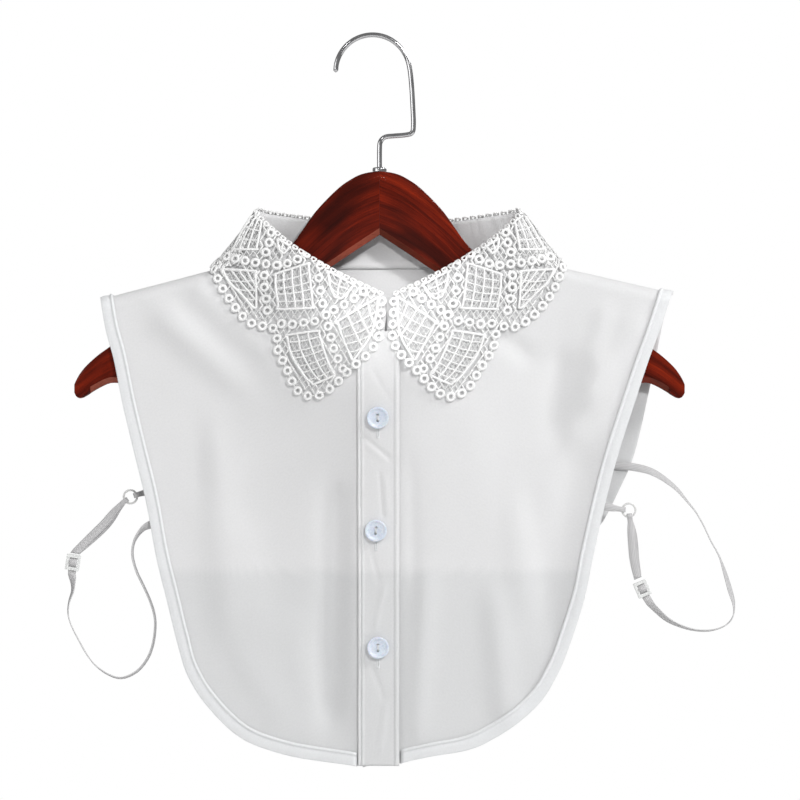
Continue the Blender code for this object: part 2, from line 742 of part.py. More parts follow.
def ribbon(name, path, across, widths, thickness, look):
    """A flat strap along a path, whose width lies along `across` at each point."""
    path = np.asarray(path, float)
    along = np.gradient(path, axis=0)
    up = np.cross(across, along)
    up *= thickness / 2 / np.linalg.norm(up, axis=1, keepdims=True)
    half = across * np.asarray(widths, float).reshape(-1, 1) / 2
    corners = (path + half + up, path - half + up, path - half - up, path + half - up)
    rings = np.stack(corners, axis=1)
    count = len(path)
    faces = [(0, 1, 2, 3), tuple(4 * (count - 1) + k for k in (3, 2, 1, 0))]
    for i in range(count - 1):
        for k in range(4):
            a, b = 4 * i + k, 4 * i + (k + 1) % 4
            faces.append((b, a, a + 4, b + 4))
    return add_mesh(name, rings.reshape(-1, 3), faces, look)


def sideways(path):
    """Unit directions square to a path, in the XZ plane."""
    along = np.gradient(np.asarray(path, float)[:, [0, 2]], axis=0)
    across = np.stack([along[:, 1], np.zeros(len(along)), -along[:, 0]], axis=1)
    return across / np.linalg.norm(across, axis=1, keepdims=True)


def turned_across(path, turns):
    """Directions of a strap's width: turn 0 faces the front, turn 90 shows the front its edge."""
    flat = sideways(path)
    along = np.gradient(path, axis=0)
    along /= np.linalg.norm(along, axis=1, keepdims=True)
    turns = np.radians(turns)[:, None]
    return np.cos(turns) * flat + np.sin(turns) * np.cross(flat, along)


def round_wire(ring, away, depth, first=1):
    """Points that go round a ring's wire, on the side `away` from its middle."""
    bend = RING_WIRE + ROUND_WIRE
    points = []
    for angle in np.radians((90, 45, 0, -45, -90)):
        spot = ring + away * (RING_RADIUS - bend * math.cos(angle))
        points.append((spot[0], depth + first * bend * math.sin(angle), spot[1]))
    return points


def hairpin(name, run, ring, ring_depth, square, look):
    """A doubled strap that goes from the slider round the ring's wire and back along itself.

    Its ends are cut along `square`, which is square to the slider.
    """
    run = smooth(run, FOLD_STRAP_POINTS)
    ring = np.array(ring, float)
    away = (run[-1] - ring) / np.linalg.norm(run[-1] - ring)
    share = np.linspace(0, 1, FOLD_STRAP_POINTS)
    apart = np.linspace(*LAYERS_APART, FOLD_STRAP_POINTS)
    front_layer = np.column_stack([run[:, 0], ring_depth * share + apart, run[:, 1]])
    back_layer = np.column_stack([run[:, 0], ring_depth * share - apart, run[:, 1]])[::-1]
    path = np.vstack([front_layer, round_wire(ring, away, ring_depth), back_layer])
    flat = sideways(front_layer)
    flat[0] = square if np.dot(flat[0], square) > 0 else -square
    across = np.vstack([flat, np.tile((-away[1], 0, away[0]), (5, 1)), flat[::-1]])
    across *= np.where(across @ across[0] < 0, -1, 1)[:, None]
    full = [STRAP_WIDTH] * (FOLD_STRAP_POINTS - 2)
    widths = full + [4.6, 4.2] + [3.6] * 5 + [4.2, 4.6] + full
    ribbon(name, path, across, widths, FOLDED_STRAP, look)


def side_straps(name, side_run, fold, ring, tab, first, last, looks):
    """One side's elastic: single run, slider, doubled run, ring and tab.

    The single run starts inside the panel on the Y side `first`, and the tab ends inside the
    panel on the side `last`.
    """
    look_strap, look_slider, look_ring = looks
    count = STRAP_POINTS
    points = smooth(side_run, count)
    depth = first * STRAP_INSIDE * (1 - smoothstep(*STRAP_COMES_OUT, np.linspace(0, 1, count)))
    path = np.column_stack([points[:, 0], depth, points[:, 1]])
    axis = np.array(fold[0]) - np.array(side_run[-1][:2])
    square = np.array([axis[1], 0, -axis[0]]) / np.linalg.norm(axis)
    across = turned_across(path, points[:, 2])
    across[-1] = square if np.dot(across[-1], square) > 0 else -square
    ribbon(name + "_strap", path, across, [STRAP_WIDTH] * count, STRAP, look_strap)
    add_slider(name + "_slider", np.array(side_run[-1][:2]), np.array(fold[0]), look_slider)

    ring = np.array(ring)
    ring_depth = last * RING_DEPTH
    hairpin(name + "_strap_fold", fold, ring, ring_depth, square, look_strap)
    add_mesh(name + "_ring", *ring_mesh(ring, ring_depth), look_ring)

    away = np.array(tab[0]) - ring
    away /= np.linalg.norm(away)
    path = [(x, last * STRAP_INSIDE, z) for x, z in smooth(tab, TAB_POINTS)[::-1]]
    flat = sideways(path)
    path[-1] = (path[-1][0], last * (STRAP_INSIDE - TAB_STEP), path[-1][2])
    tail = ring + away * (RING_RADIUS + TAIL)
    path += round_wire(ring, away, ring_depth, last)
    path += [(tail[0], ring_depth - last * TAIL_DEPTH, tail[1])]
    across = np.vstack([flat, np.tile((-away[1], 0, away[0]), (6, 1))])
    across *= np.where(across @ across[0] < 0, -1, 1)[:, None]
    widths = [STRAP_WIDTH] * (TAB_POINTS - 1) + [4.6] + [3.6] * 5 + [4.0]
    ribbon(name + "_tab", path, across, widths, FOLDED_STRAP, look_strap)


def ring_mesh(ring, depth, steps=18, sides=6):
    """Points and faces of a round wire ring whose axis is Y."""
    points, faces = [], []
    for i in range(steps):
        a = 2 * math.pi * i / steps
        for k in range(sides):
            b = 2 * math.pi * k / sides
            reach = RING_RADIUS + RING_WIRE * math.cos(b)
            points.append((
                ring[0] + reach * math.cos(a),
                depth + RING_WIRE * math.sin(b),
                ring[1] + reach * math.sin(a),
            ))
            c, d = (i + 1) % steps * sides, (k + 1) % sides
            faces.append((i * sides + k, i * sides + d, c + d, c + k))
    return points, faces


def add_slider(name, start, end, look):
    """A flat slider with two slots and a bar between them, in line with the strap."""
    across, along, thick = SLIDER
    slot_width, slot_length = SLIDER_SLOT
    xs = [-across / 2, -slot_width / 2, slot_width / 2, across / 2]
    bar = SLIDER_BAR / 2
    ys = [-along / 2, -bar - slot_length, -bar, bar, bar + slot_length, along / 2]
    solid = np.ones((5, 3), bool)
    solid[1, 1] = solid[3, 1] = False
    to = (end - start) / np.linalg.norm(end - start)
    side = np.array([to[1], -to[0]])
    centre = (start + end) / 2
    points, faces = [], []
    for level in (-thick / 2, thick / 2):
        for y in ys:
            for x in xs:
                spot = centre + side * x + to * y
                points.append((spot[0], level, spot[1]))
    top = len(xs) * len(ys)
    for r in range(5):
        for c in range(3):
            if not solid[r, c]:
                continue
            a, b = r * 4 + c, r * 4 + c + 1
            e, f = a + 4, b + 4
            faces += [(a, b, f, e), (top + e, top + f, top + b, top + a)]
            around = (
                (r > 0 and solid[r - 1, c], a, b),
                (c < 2 and solid[r, c + 1], b, f),
                (r < 4 and solid[r + 1, c], f, e),
                (c > 0 and solid[r, c - 1], e, a),
            )
            for joined, p, n in around:
                if not joined:
                    faces.append((n, p, top + p, top + n))
    return add_mesh(name, points, faces, look)


def hanger_arm(name, side, look):
    """Half of the hanger: sections with rounded edges, lofted from its centre to the arm's tip."""
    rings = []
    for x, top, bottom, half in HANGER:
        edge = min(HANGER_EDGE, half - 0.2, (top - bottom) / 2 - 0.2)
        ring = []
        corners = ((1, 1, 90), (1, -1, 0), (-1, -1, -90), (-1, 1, -180))
        for sy, sz, start in corners:
            height = top - edge if sz > 0 else bottom + edge
            for turn in (0, 45, 90):
                angle = math.radians(start - turn)
                ring.append((
                    side * x,
                    sy * (half - edge) + edge * math.cos(angle),
                    height + edge * math.sin(angle),
                ))
        rings.append(ring)
    size = len(rings[0])
    faces = [tuple(range(size)), tuple(range(len(rings) * size - 1, (len(rings) - 1) * size - 1, -1))]
    for i in range(len(rings) - 1):
        for k in range(size):
            a, b = i * size + k, i * size + (k + 1) % size
            faces.append((b, a, a + size, b + size))
    piece = add_mesh(name, [point for ring in rings for point in ring], faces, look)
    piece.data.shade_smooth()
    piece.data.set_sharp_from_angle(angle=math.radians(50))
    return piece


def hook(look):
    """The hook's bent wire, as a curve with a round bevel."""
    route = []
    cx, cz = HOOK_ARC_MIDDLE
    for angle in np.linspace(HOOK_ARC_FROM, HOOK_ARC_TO, HOOK_ARC_POINTS):
        x = cx + HOOK_ARC_RADIUS * math.cos(angle)
        route.append((x, cz + HOOK_ARC_RADIUS * math.sin(angle)))
    points = smooth(route + list(HOOK_SHANK), HOOK_POINTS)
    points[-5:, 0] = 0.0
    data = bpy.data.curves.new("hook", "CURVE")
    data.dimensions = "3D"
    data.bevel_depth = HOOK_RADIUS * MM
    data.bevel_resolution = 2
    data.use_fill_caps = True
    spline = data.splines.new("POLY")
    spline.points.add(len(points) - 1)
    for knot, (x, z) in zip(spline.points, points):
        knot.co = (x * MM, 0, z * MM, 1)
    add_object("hook", data, look)


def turned(name, profile, look, steps=20):
    """A solid turned about Z from (radius, height) pairs that start and end on the axis."""
    points = [(0, 0, profile[0][1])]
    for radius, height in profile[1:-1]:
        for k in range(steps):
            a = 2 * math.pi * k / steps
            points.append((radius * math.cos(a), radius * math.sin(a), height))
    points.append((0, 0, profile[-1][1]))
    faces = []
    last = len(points) - 1
    rings = len(profile) - 2
    for k in range(steps):
        n = (k + 1) % steps
        faces.append((0, 1 + k, 1 + n))
        for r in range(rings - 1):
            a = 1 + r * steps
            faces.append((a + k, a + steps + k, a + steps + n, a + n))
        a = 1 + (rings - 1) * steps
        faces.append((a + k, last, a + n))
    return add_mesh(name, points, faces, look)


def buttons(look):
    """Three dished buttons with two holes each, standing on the placket."""
    for count, (x, z) in enumerate(BUTTONS, 1):
        q = float(below(x, z, FRONT))
        centre = middle(x, q, FRONT, 1)
        normal = outward(np.array(x), np.array(q), FRONT, 1)
        foot = centre + normal * (1.5 * CLOTH + 2 * LIE)
        button = turned(f"button_{count}", BUTTON_PROFILE, look)
        button.location = foot * MM
        button.rotation_euler = Vector(normal).to_track_quat("Z", "Y").to_euler()
        for hole in (-1, 1):
            low, high = HOLE_DEPTH
            drill = ((0, low), (HOLE_RADIUS, low), (HOLE_RADIUS, high), (0, high))
            cutter = turned(f"hole_{count}_{hole}", drill, look, 6)
            cutter.parent = button
            cutter.location = (0, hole * HOLE_FROM_MIDDLE * MM, 0)
            cutter.hide_render = True
            cutter.display_type = "WIRE"
            cut = button.modifiers.new("hole", "BOOLEAN")
            cut.object = cutter
            cut.solver = "EXACT"


def main():
    for old in list(bpy.data.objects):
        bpy.data.objects.remove(old, do_unlink=True)

    cloth = material("cloth", (0.86, 0.87, 0.88), 0.75)
    bound = material("bound_edge", (0.88, 0.89, 0.90), 0.7)
    thread = material("lace", (0.93, 0.93, 0.92), 0.8)
    shell = material("button", (0.80, 0.85, 0.92), 0.3)
    elastic = material("elastic", (0.88, 0.89, 0.89), 0.6)
    plastic = material("slider", (0.90, 0.91, 0.91), 0.35)
    wood = material("varnished_wood", (0.16, 0.025, 0.012), 0.25)
    chrome = material("chrome", (0.75, 0.75, 0.76), 0.15, 1.0)

    hook(chrome)
    nut = turned("hook_nut", (
        (0, NUT_Z[0]), (NUT_RADIUS, NUT_Z[0]), (NUT_RADIUS, NUT_Z[0] + 1.4),
        (3.2, NUT_Z[1]), (0, NUT_Z[1])), chrome)
    nut.data.shade_smooth()
    nut.data.set_sharp_from_angle(angle=math.radians(30))
    hanger_arm("hanger_right", RIGHT, wood)
    hanger_arm("hanger_left", LEFT, wood)

    front("front_right", RIGHT_FRONT_EDGE, RIGHT, RIGHT_LAP_X, 1, cloth, bound)
    front("front_left", LEFT_FRONT_EDGE, LEFT, LEFT_LAP_X, -1, cloth, bound)
    back(cloth, bound)
    placket(cloth)
    buttons(shell)

    stand = collar_stand(cloth)
    lace(thread, stand)

    looks = (elastic, plastic, chrome)
    side_straps("right", RIGHT_STRAP, RIGHT_FOLD, RIGHT_RING, RIGHT_TAB, FRONT, BACK, looks)
    side_straps("left", LEFT_STRAP, LEFT_FOLD, LEFT_RING, LEFT_TAB, BACK, FRONT, looks)


main()
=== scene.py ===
# %% [markdown]
# # A lace collar on its hanger
#
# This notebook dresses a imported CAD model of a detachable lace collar. On the real object, two
# button-up fronts and a shorter back hang over a varnished wooden hanger, and a stand round the
# neck carries two falls of openwork lace. Loading the frame brings in the CAD pieces, which give
# the true places and sizes. Everything made here sits in the same frame, in metres.

import math

import bmesh
import bpy
import numpy as np
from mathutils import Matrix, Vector
from mathutils.bvhtree import BVHTree


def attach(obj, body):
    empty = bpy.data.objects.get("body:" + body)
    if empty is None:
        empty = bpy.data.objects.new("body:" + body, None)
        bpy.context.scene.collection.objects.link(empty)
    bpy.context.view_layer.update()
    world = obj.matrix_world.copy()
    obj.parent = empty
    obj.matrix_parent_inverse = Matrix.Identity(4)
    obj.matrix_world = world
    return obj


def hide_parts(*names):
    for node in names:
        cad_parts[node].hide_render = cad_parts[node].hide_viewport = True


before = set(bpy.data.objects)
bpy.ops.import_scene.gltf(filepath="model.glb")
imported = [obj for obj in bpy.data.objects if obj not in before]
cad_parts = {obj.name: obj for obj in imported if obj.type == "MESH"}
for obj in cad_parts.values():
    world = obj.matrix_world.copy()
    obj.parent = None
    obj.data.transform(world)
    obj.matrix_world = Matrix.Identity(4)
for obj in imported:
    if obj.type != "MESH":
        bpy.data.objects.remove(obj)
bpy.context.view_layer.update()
print("CAD nodes:", len(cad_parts))

# %% [markdown]
# ## Numbers that the pieces share
#
# A tailor works in millimetres, so the tables here do too, and one factor turns them into the
# metres of the frame. The thicknesses are those of the real cloth walls, so that a piece that is
# laid on another one meets it where the CAD solids meet.

# %% Shared numbers
MM = 0.001
FRONT, BACK = -1, 1  # the way that a panel faces along Y
RIGHT, LEFT = -1, 1  # the wearer's sides, along X
CLOTH = 1.0  # wall of the panels, the placket and the stand
BAND = 0.9  # wall of the bound edges
BAND_WIDTH = 8.3
LIE = 0.45  # between a piece and what it lies on
MIDDLE = 6.0  # x of the collar's centre line
BODY = "root"
rng = np.random.default_rng(27)
print("cloth wall", CLOTH, "mm, bound edge", BAND_WIDTH, "mm")

# %% [markdown]
# ## The camera
#
# A garment is shown square on, from far enough away that nothing is distorted. A long lens two
# metres away gives that view, level with the middle of the object.

# %% Camera
view_centre = Vector((0.0141, 0.0, -0.2498))
view_width = 0.552
view_distance = 2.0
camera_data = bpy.data.cameras.new("camera")
camera_data.sensor_width = 36.0
camera_data.lens = camera_data.sensor_width * view_distance / view_width
camera = bpy.data.objects.new("camera", camera_data)
camera.location = view_centre - Vector((0, view_distance, 0))
camera.rotation_euler = (math.pi / 2, 0, 0)
bpy.context.scene.collection.objects.link(camera)
bpy.context.scene.camera = camera
print("lens", round(camera_data.lens, 1), "mm")

# %% [markdown]
# ## Floor, sky and lamps
#
# White cloth on white needs light that is soft but still comes mostly from one side, or every
# fold disappears. A large lamp high on the right models the folds, and a small one nearer the
# front on that side gives the lace its fine shadows. Weaker ones on the left and behind open the
# deep shadows, and two narrow ones draw lines of light along the varnish and the chrome. The sky
# is white to the eye, and lights the scene more weakly than it looks, which keeps the folds.

# %% Floor and sky
floor_size = 5.0
floor_height = -1.1
bpy.ops.object.select_all(action="DESELECT")
bpy.ops.mesh.primitive_plane_add(size=floor_size, location=(0, 0, floor_height))
floor = bpy.context.object
floor.name = "floor"
floor_look = bpy.data.materials.new("floor")
floor_look.use_nodes = True
floor_shader = floor_look.node_tree.nodes["Principled BSDF"]
floor_shader.inputs["Base Color"].default_value = (0.86, 0.86, 0.86, 1)
floor_shader.inputs["Roughness"].default_value = 0.9
floor.data.materials.append(floor_look)

sky_seen, sky_light = 1.0, 0.22
world = bpy.data.worlds.new("sky")
bpy.context.scene.world = world
world.use_nodes = True
sky = world.node_tree
sky_colour = sky.nodes["Background"]
sky_colour.inputs["Color"].default_value = (1, 1, 1, 1)
ray = sky.nodes.new("ShaderNodeLightPath")
strength = sky.nodes.new("ShaderNodeMapRange")
strength.inputs["To Min"].default_value = sky_light
strength.inputs["To Max"].default_value = sky_seen
sky.links.new(ray.outputs["Is Camera Ray"], strength.inputs["Value"])
sky.links.new(strength.outputs["Result"], sky_colour.inputs["Strength"])
bpy.context.scene.view_settings.view_transform = "Standard"
print("floor at", floor_height, "m")

# %% Lamps
def lamp(name, place, size, power):
    """A square soft lamp, in metres and watts, that shines on the middle of the object."""
    data = bpy.data.lights.new(name, "AREA")
    data.size, data.energy = size, power
    piece = bpy.data.objects.new(name, data)
    piece.location = place
    aim = view_centre - Vector(place)
    piece.rotation_euler = aim.to_track_quat("-Z", "Y").to_euler()
    piece.visible_camera = False
    bpy.context.scene.collection.objects.link(piece)


LAMPS = (  # name, place, size, power
    ("key", (4.8, -1.42, 3.0), 1.5, 175),
    ("front", (0.95, -2.0, 1.0), 0.3, 28),
    ("front_left", (-1.1, -2.4, -0.1), 0.8, 4),
    ("fill", (-1.9, -1.4, 0.2), 1.2, 9),
    ("edge_left", (-0.9, -2.4, 1.2), 0.25, 3),
    ("edge_right", (1.1, -2.2, 1.0), 0.25, 3),
    ("behind", (1.2, 2.0, 1.0), 1.2, 14),
)
for lamp_name, lamp_place, lamp_size, lamp_power in LAMPS:
    lamp(lamp_name, lamp_place, lamp_size, lamp_power)

# One narrow lamp opens the neck, under the hanger. Its cone and its size are small enough to miss
# the hanger's crown, where it would leave a glare.
NECK_LAMP, NECK_AIM = (0.0, -1.9, 0.2), (0.002, 0.02, -0.185)
NECK_POWER, NECK_SIZE = 80, 0.03
NECK_CONE, NECK_BLUR = 3.4, 0.8  # degrees, and the share of the cone that fades
neck_data = bpy.data.lights.new("neck", "SPOT")
neck_data.energy, neck_data.shadow_soft_size = NECK_POWER, NECK_SIZE
neck_data.spot_size, neck_data.spot_blend = math.radians(NECK_CONE), NECK_BLUR
neck_lamp = bpy.data.objects.new("neck", neck_data)
neck_lamp.location = NECK_LAMP
neck_aim = Vector(NECK_AIM) - neck_lamp.location
neck_lamp.rotation_euler = neck_aim.to_track_quat("-Z", "Y").to_euler()
bpy.context.scene.collection.objects.link(neck_lamp)
print("lamps:", len(LAMPS) + 1)

# %% [markdown]
# ## Finishes: small tools first
#
# Every finish is built from nodes. Three small functions keep that readable: one adds a node and
# wires or sets its inputs, one starts a shared node group with named sockets, and one starts a
# material with its Principled shader.

# %% Node tools
def node(tree, kind, settings=None, values=None):
    """Adds a node, sets its own settings, and gives its inputs their wires or numbers."""
    made = tree.nodes.new(kind)
    for name, value in (settings or {}).items():
        setattr(made, name, value)
    for name, value in (values or {}).items():
        if isinstance(value, bpy.types.NodeSocket):
            tree.links.new(value, made.inputs[name])
        else:
            made.inputs[name].default_value = value
    return made


def maths(tree, operation, a, b):
    return node(tree, "ShaderNodeMath", {"operation": operation}, {0: a, 1: b}).outputs[0]


def blend(tree, share, a, b, way="MIX"):
    """One colour over another; 6 and 7 are the Mix node's two colour sockets."""
    settings = {"data_type": "RGBA", "blend_type": way}
    return node(tree, "ShaderNodeMix", settings, {0: share, 6: a, 7: b}).outputs[2]


def between(tree, value, low, high, to_low, to_high):
    names = ("Value", "From Min", "From Max", "To Min", "To Max")
    values = dict(zip(names, (value, low, high, to_low, to_high)))
    return node(tree, "ShaderNodeMapRange", None, values).outputs["Result"]


def new_group(name, inputs, outputs):
    """A node group with (title, kind, start) inputs and (title, kind) outputs."""
    tree = bpy.data.node_groups.new(name, "ShaderNodeTree")
    for title, kind, start in inputs:
        socket = tree.interface.new_socket(title, in_out="INPUT", socket_type=kind)
        if start is not None:
            socket.default_value = start
    for title, kind in outputs:
        tree.interface.new_socket(title, in_out="OUTPUT", socket_type=kind)
    entry = tree.nodes.new("NodeGroupInput").outputs
    return tree, entry, tree.nodes.new("NodeGroupOutput").inputs


def new_look(name, **values):
    """A material; the values are numbers or colours that are the same all over its surface."""
    look = bpy.data.materials.new(name)
    look.use_nodes = True
    tree = look.node_tree
    shader = tree.nodes["Principled BSDF"]
    for title, value in values.items():
        shader.inputs[title.replace("_", " ")].default_value = value
    return look, tree, shader


def bump(tree, shader, height, depth):
    """Feeds a height from 0 to 1, which stands for `depth` metres, to the shader's normal."""
    values = {"Height": height, "Distance": depth, "Strength": 1.0}
    raised = node(tree, "ShaderNodeBump", None, values)
    tree.links.new(raised.outputs["Normal"], shader.inputs["Normal"])


def put(tree, group, values):
    return node(tree, "ShaderNodeGroup", {"node_tree": group}, values).outputs


print("node tools ready")

# %% [markdown]
# ## The weave
#
# Plain weave passes each thread over and under the next. Two bands of waves make the round
# threads of warp and weft, and a checker picks which of them lies on top. Crêpe is made of hard
# twisted yarn, so a noise pulls the threads about and leaves a fine pebbled surface. The cloth
# pieces, the bound edges and the elastic all use this group, each with its own thread.

# %% Weave group
FLOAT, VECTOR = "NodeSocketFloat", "NodeSocketVector"
WAVE_TURN = 2 * math.pi / 20  # a wave texture's scale for one thread a unit

weave, entry, exit_ = new_group(
    "weave",
    [("Place", VECTOR, None), ("Threads", FLOAT, 2200.0), ("Pull", FLOAT, 0.3)],
    [("Height", FLOAT), ("Pebble", FLOAT)],
)
pull = node(weave, "ShaderNodeTexNoise", None, {
    "Vector": entry["Place"], "Scale": 260.0, "Detail": 2.0, "Roughness": 0.6})
pulled = node(weave, "ShaderNodeVectorMath", {"operation": "SCALE"}, {
    0: pull.outputs["Color"], "Scale": 0.0006})
place = node(weave, "ShaderNodeVectorMath", {"operation": "ADD"}, {
    0: entry["Place"], 1: pulled.outputs[0]})
wave_scale = maths(weave, "MULTIPLY", entry["Threads"], WAVE_TURN)
threads = [
    node(weave, "ShaderNodeTexWave", {"bands_direction": way}, {
        "Vector": place.outputs[0], "Scale": wave_scale}).outputs["Fac"]
    for way in ("X", "Y")
]
over = node(weave, "ShaderNodeTexChecker", None, {
    "Vector": place.outputs[0], "Scale": entry["Threads"]})
top = node(weave, "ShaderNodeMix", {"data_type": "FLOAT"}, {
    0: over.outputs["Fac"], 2: threads[0], 3: threads[1]})
pebble = node(weave, "ShaderNodeTexNoise", None, {
    "Vector": entry["Place"], "Scale": 700.0, "Detail": 3.0, "Roughness": 0.55})
pebbled = maths(weave, "MULTIPLY", pebble.outputs["Fac"], entry["Pull"])
weave.links.new(maths(weave, "ADD", top.outputs[0], pebbled), exit_["Height"])
weave.links.new(pebble.outputs["Fac"], exit_["Pebble"])
print("weave group:", len(weave.nodes), "nodes")

# %% [markdown]
# ## Handling marks
#
# Nothing that has been worn or handled is even. This group gives a slow, cloudy mask from 0 to 1,
# which the cloth uses for faint changes of white, the varnish for its sheen and the chrome for
# finger marks.

# %% Handling group
handling, entry, exit_ = new_group(
    "handling", [("Place", VECTOR, None), ("Size", FLOAT, 0.05)], [("Mask", FLOAT)])
cloud_scale = maths(handling, "DIVIDE", 1.0, entry["Size"])
cloud = node(handling, "ShaderNodeTexNoise", None, {
    "Vector": entry["Place"], "Scale": cloud_scale, "Detail": 4.0, "Roughness": 0.6})
cleared = between(handling, cloud.outputs["Fac"], 0.3, 0.7, 0.0, 1.0)
handling.links.new(cleared, exit_["Mask"])
print("handling group:", len(handling.nodes), "nodes")

# %% [markdown]
# ## Cloth finishes
#
# The fronts, back, stand and placket are a white crêpe, quite matt. It is thin, so where the back
# lies behind a front more light comes back through it; that light is painted into the colour as a
# brighter white, and a point attribute says where. The bound edges are cut from the same cloth on
# the bias and folded double, and their white is painted a shade brighter for the same light. The
# pebbles of the crêpe are painted a little darker where they sink, as shade.

# %% Cloth finishes
def cloth_look(name, thin, full, threads, turn, depth):
    """A woven white: `thin` alone, and `full`, painted brighter, where another layer backs it."""
    look, tree, shader = new_look(name, Roughness=0.88, Sheen_Weight=0.12, Sheen_Roughness=0.5)
    shader.inputs["Specular IOR Level"].default_value = 0.25
    cut = node(tree, "ShaderNodeUVMap", {"uv_map": "cut"}).outputs["UV"]
    turned = node(tree, "ShaderNodeMapping", None, {"Vector": cut, "Rotation": (0, 0, turn)})
    yarn = put(tree, weave, {"Place": turned.outputs[0], "Threads": threads, "Pull": 0.8})
    worn = put(tree, handling, {"Place": cut, "Size": 0.06})
    painted_backing_light = node(tree, "ShaderNodeAttribute", {"attribute_name": "painted_backing_light"}).outputs["Fac"]
    # Painted light: the white is painted brighter where another layer of cloth backs this one.
    white = blend(tree, painted_backing_light, thin, full)
    # Painted shade: the crêpe's pebbles are painted a little darker where they sink.
    shaded = between(tree, yarn["Pebble"], 0.3, 0.7, 0.955, 1.0)
    cloudy = between(tree, worn["Mask"], 0.0, 1.0, 0.985, 1.0)
    grey = node(tree, "ShaderNodeCombineColor", None, {
        name: maths(tree, "MULTIPLY", shaded, cloudy) for name in ("Red", "Green", "Blue")})
    dimmed = blend(tree, 1.0, white, grey.outputs[0], "MULTIPLY")
    tree.links.new(dimmed, shader.inputs["Base Color"])
    bump(tree, shader, yarn["Height"], depth)
    return look


cloth_white = cloth_look(
    "cloth", (0.76, 0.765, 0.77, 1), (0.83, 0.83, 0.835, 1), 2300.0, 0.0, 0.00008)
# The bound edges' whites are painted a shade brighter than the cloth's, for the light that the
# doubled strip sends back.
bound_white = cloth_look(
    "bound_edge", (0.84, 0.85, 0.86, 1), (0.86, 0.87, 0.88, 1), 2300.0, math.pi / 4, 0.00007)
print("cloth finishes:", cloth_white.name, bound_white.name)

# %% [markdown]
# ## Lace thread and sewing thread
#
# Guipure lace is made of soft cotton. Its cords are thousands of stitches packed side by side,
# so a fine wave runs round them, broken up by noise, and the thread scatters light at its edges,
# which is what the sheen does.

# %% Thread finish
def thread_look(name, colour, stitches, depth):
    look, tree, shader = new_look(name, Roughness=0.8, Sheen_Weight=0.25, Sheen_Roughness=0.4)
    shader.inputs["Specular IOR Level"].default_value = 0.3
    place = node(tree, "ShaderNodeTexCoord").outputs["Object"]
    rub = put(tree, handling, {"Place": place, "Size": 0.01})["Mask"]
    stitch = node(tree, "ShaderNodeTexWave", {"bands_direction": "DIAGONAL"}, {
        "Vector": place, "Scale": stitches * WAVE_TURN, "Distortion": 3.0, "Detail": 2.0})
    dim = tuple(0.96 * c for c in colour[:3]) + (1,)
    tree.links.new(blend(tree, rub, dim, colour), shader.inputs["Base Color"])
    bump(tree, shader, stitch.outputs["Fac"], depth)
    return look


lace_white = thread_look("lace", (0.95, 0.95, 0.945, 1), 1500.0, 0.0001)
sewing_white = thread_look("sewing_thread", (0.80, 0.81, 0.82, 1), 3000.0, 0.00004)
print("thread finishes:", lace_white.name, sewing_white.name)

# %% [markdown]
# ## Elastic, plastic and pearl
#
# Braided elastic shows fine ribs along its length and the weft that crosses them, which the weave
# group gives with a fine thread; the grooves between the ribs are painted darker, as shade. The
# sliders and rings are glossy moulded plastic and coated wire.
# The buttons are turned from a pale, bluish resin with a faint swirl, under a clear polish.

# %% Elastic
elastic_white, tree, shader = new_look("elastic", Roughness=0.62, Sheen_Weight=0.15)
cut = node(tree, "ShaderNodeUVMap", {"uv_map": "cut"}).outputs["UV"]
braid = put(tree, weave, {"Place": cut, "Threads": 1500.0, "Pull": 0.2})
ribs = node(tree, "ShaderNodeTexWave", {"bands_direction": "X"}, {
    "Vector": cut, "Scale": 900.0 * WAVE_TURN})
# Painted shade: the grooves between the ribs are painted darker, by the same wave that raises them.
rib_shaded_white = blend(
    tree, ribs.outputs["Fac"], (0.50, 0.495, 0.50, 1), (0.62, 0.615, 0.62, 1))
tree.links.new(rib_shaded_white, shader.inputs["Base Color"])
bump(tree, shader, maths(tree, "ADD", braid["Height"], ribs.outputs["Fac"]), 0.00008)
print("finish:", elastic_white.name)

# %% Moulded plastic and coated wire
def moulded_look(name, colour, roughness, grain):
    """A glossy white with a slight orange-peel surface and dull patches where it is handled."""
    look, tree, shader = new_look(name, Coat_Weight=0.4, Coat_Roughness=0.1)
    place = node(tree, "ShaderNodeTexCoord").outputs["Object"]
    rub = put(tree, handling, {"Place": place, "Size": 0.006})["Mask"]
    rough = between(tree, rub, 0.0, 1.0, roughness, roughness + 0.18)
    tree.links.new(rough, shader.inputs["Roughness"])
    dim = tuple(0.93 * c for c in colour[:3]) + (1,)
    tree.links.new(blend(tree, rub, colour, dim), shader.inputs["Base Color"])
    peel = node(tree, "ShaderNodeTexNoise", None, {"Vector": place, "Scale": grain})
    bump(tree, shader, peel.outputs["Fac"], 0.00003)
    return look


slider_white = moulded_look("slider", (0.80, 0.81, 0.80, 1), 0.25, 1800.0)
ring_white = moulded_look("ring", (0.74, 0.74, 0.73, 1), 0.2, 2600.0)
print("finishes:", slider_white.name, ring_white.name)

# %% Button resin
resin, tree, shader = new_look(
    "button", Roughness=0.3, Coat_Weight=0.6, Coat_Roughness=0.06, Subsurface_Weight=0.12)
shader.inputs["Subsurface Scale"].default_value = 0.002
place = node(tree, "ShaderNodeTexCoord").outputs["Object"]
swirl = node(tree, "ShaderNodeTexWave", {"wave_type": "RINGS", "rings_direction": "Y"}, {
    "Vector": place, "Scale": 22.0, "Distortion": 9.0, "Detail": 3.0, "Detail Scale": 30.0})
pale = blend(tree, swirl.outputs["Fac"], (0.62, 0.69, 0.80, 1), (0.74, 0.79, 0.87, 1))
tree.links.new(pale, shader.inputs["Base Color"])
polish = put(tree, handling, {"Place": place, "Size": 0.004})["Mask"]
bump(tree, shader, polish, 0.00002)
print("finish:", resin.name)

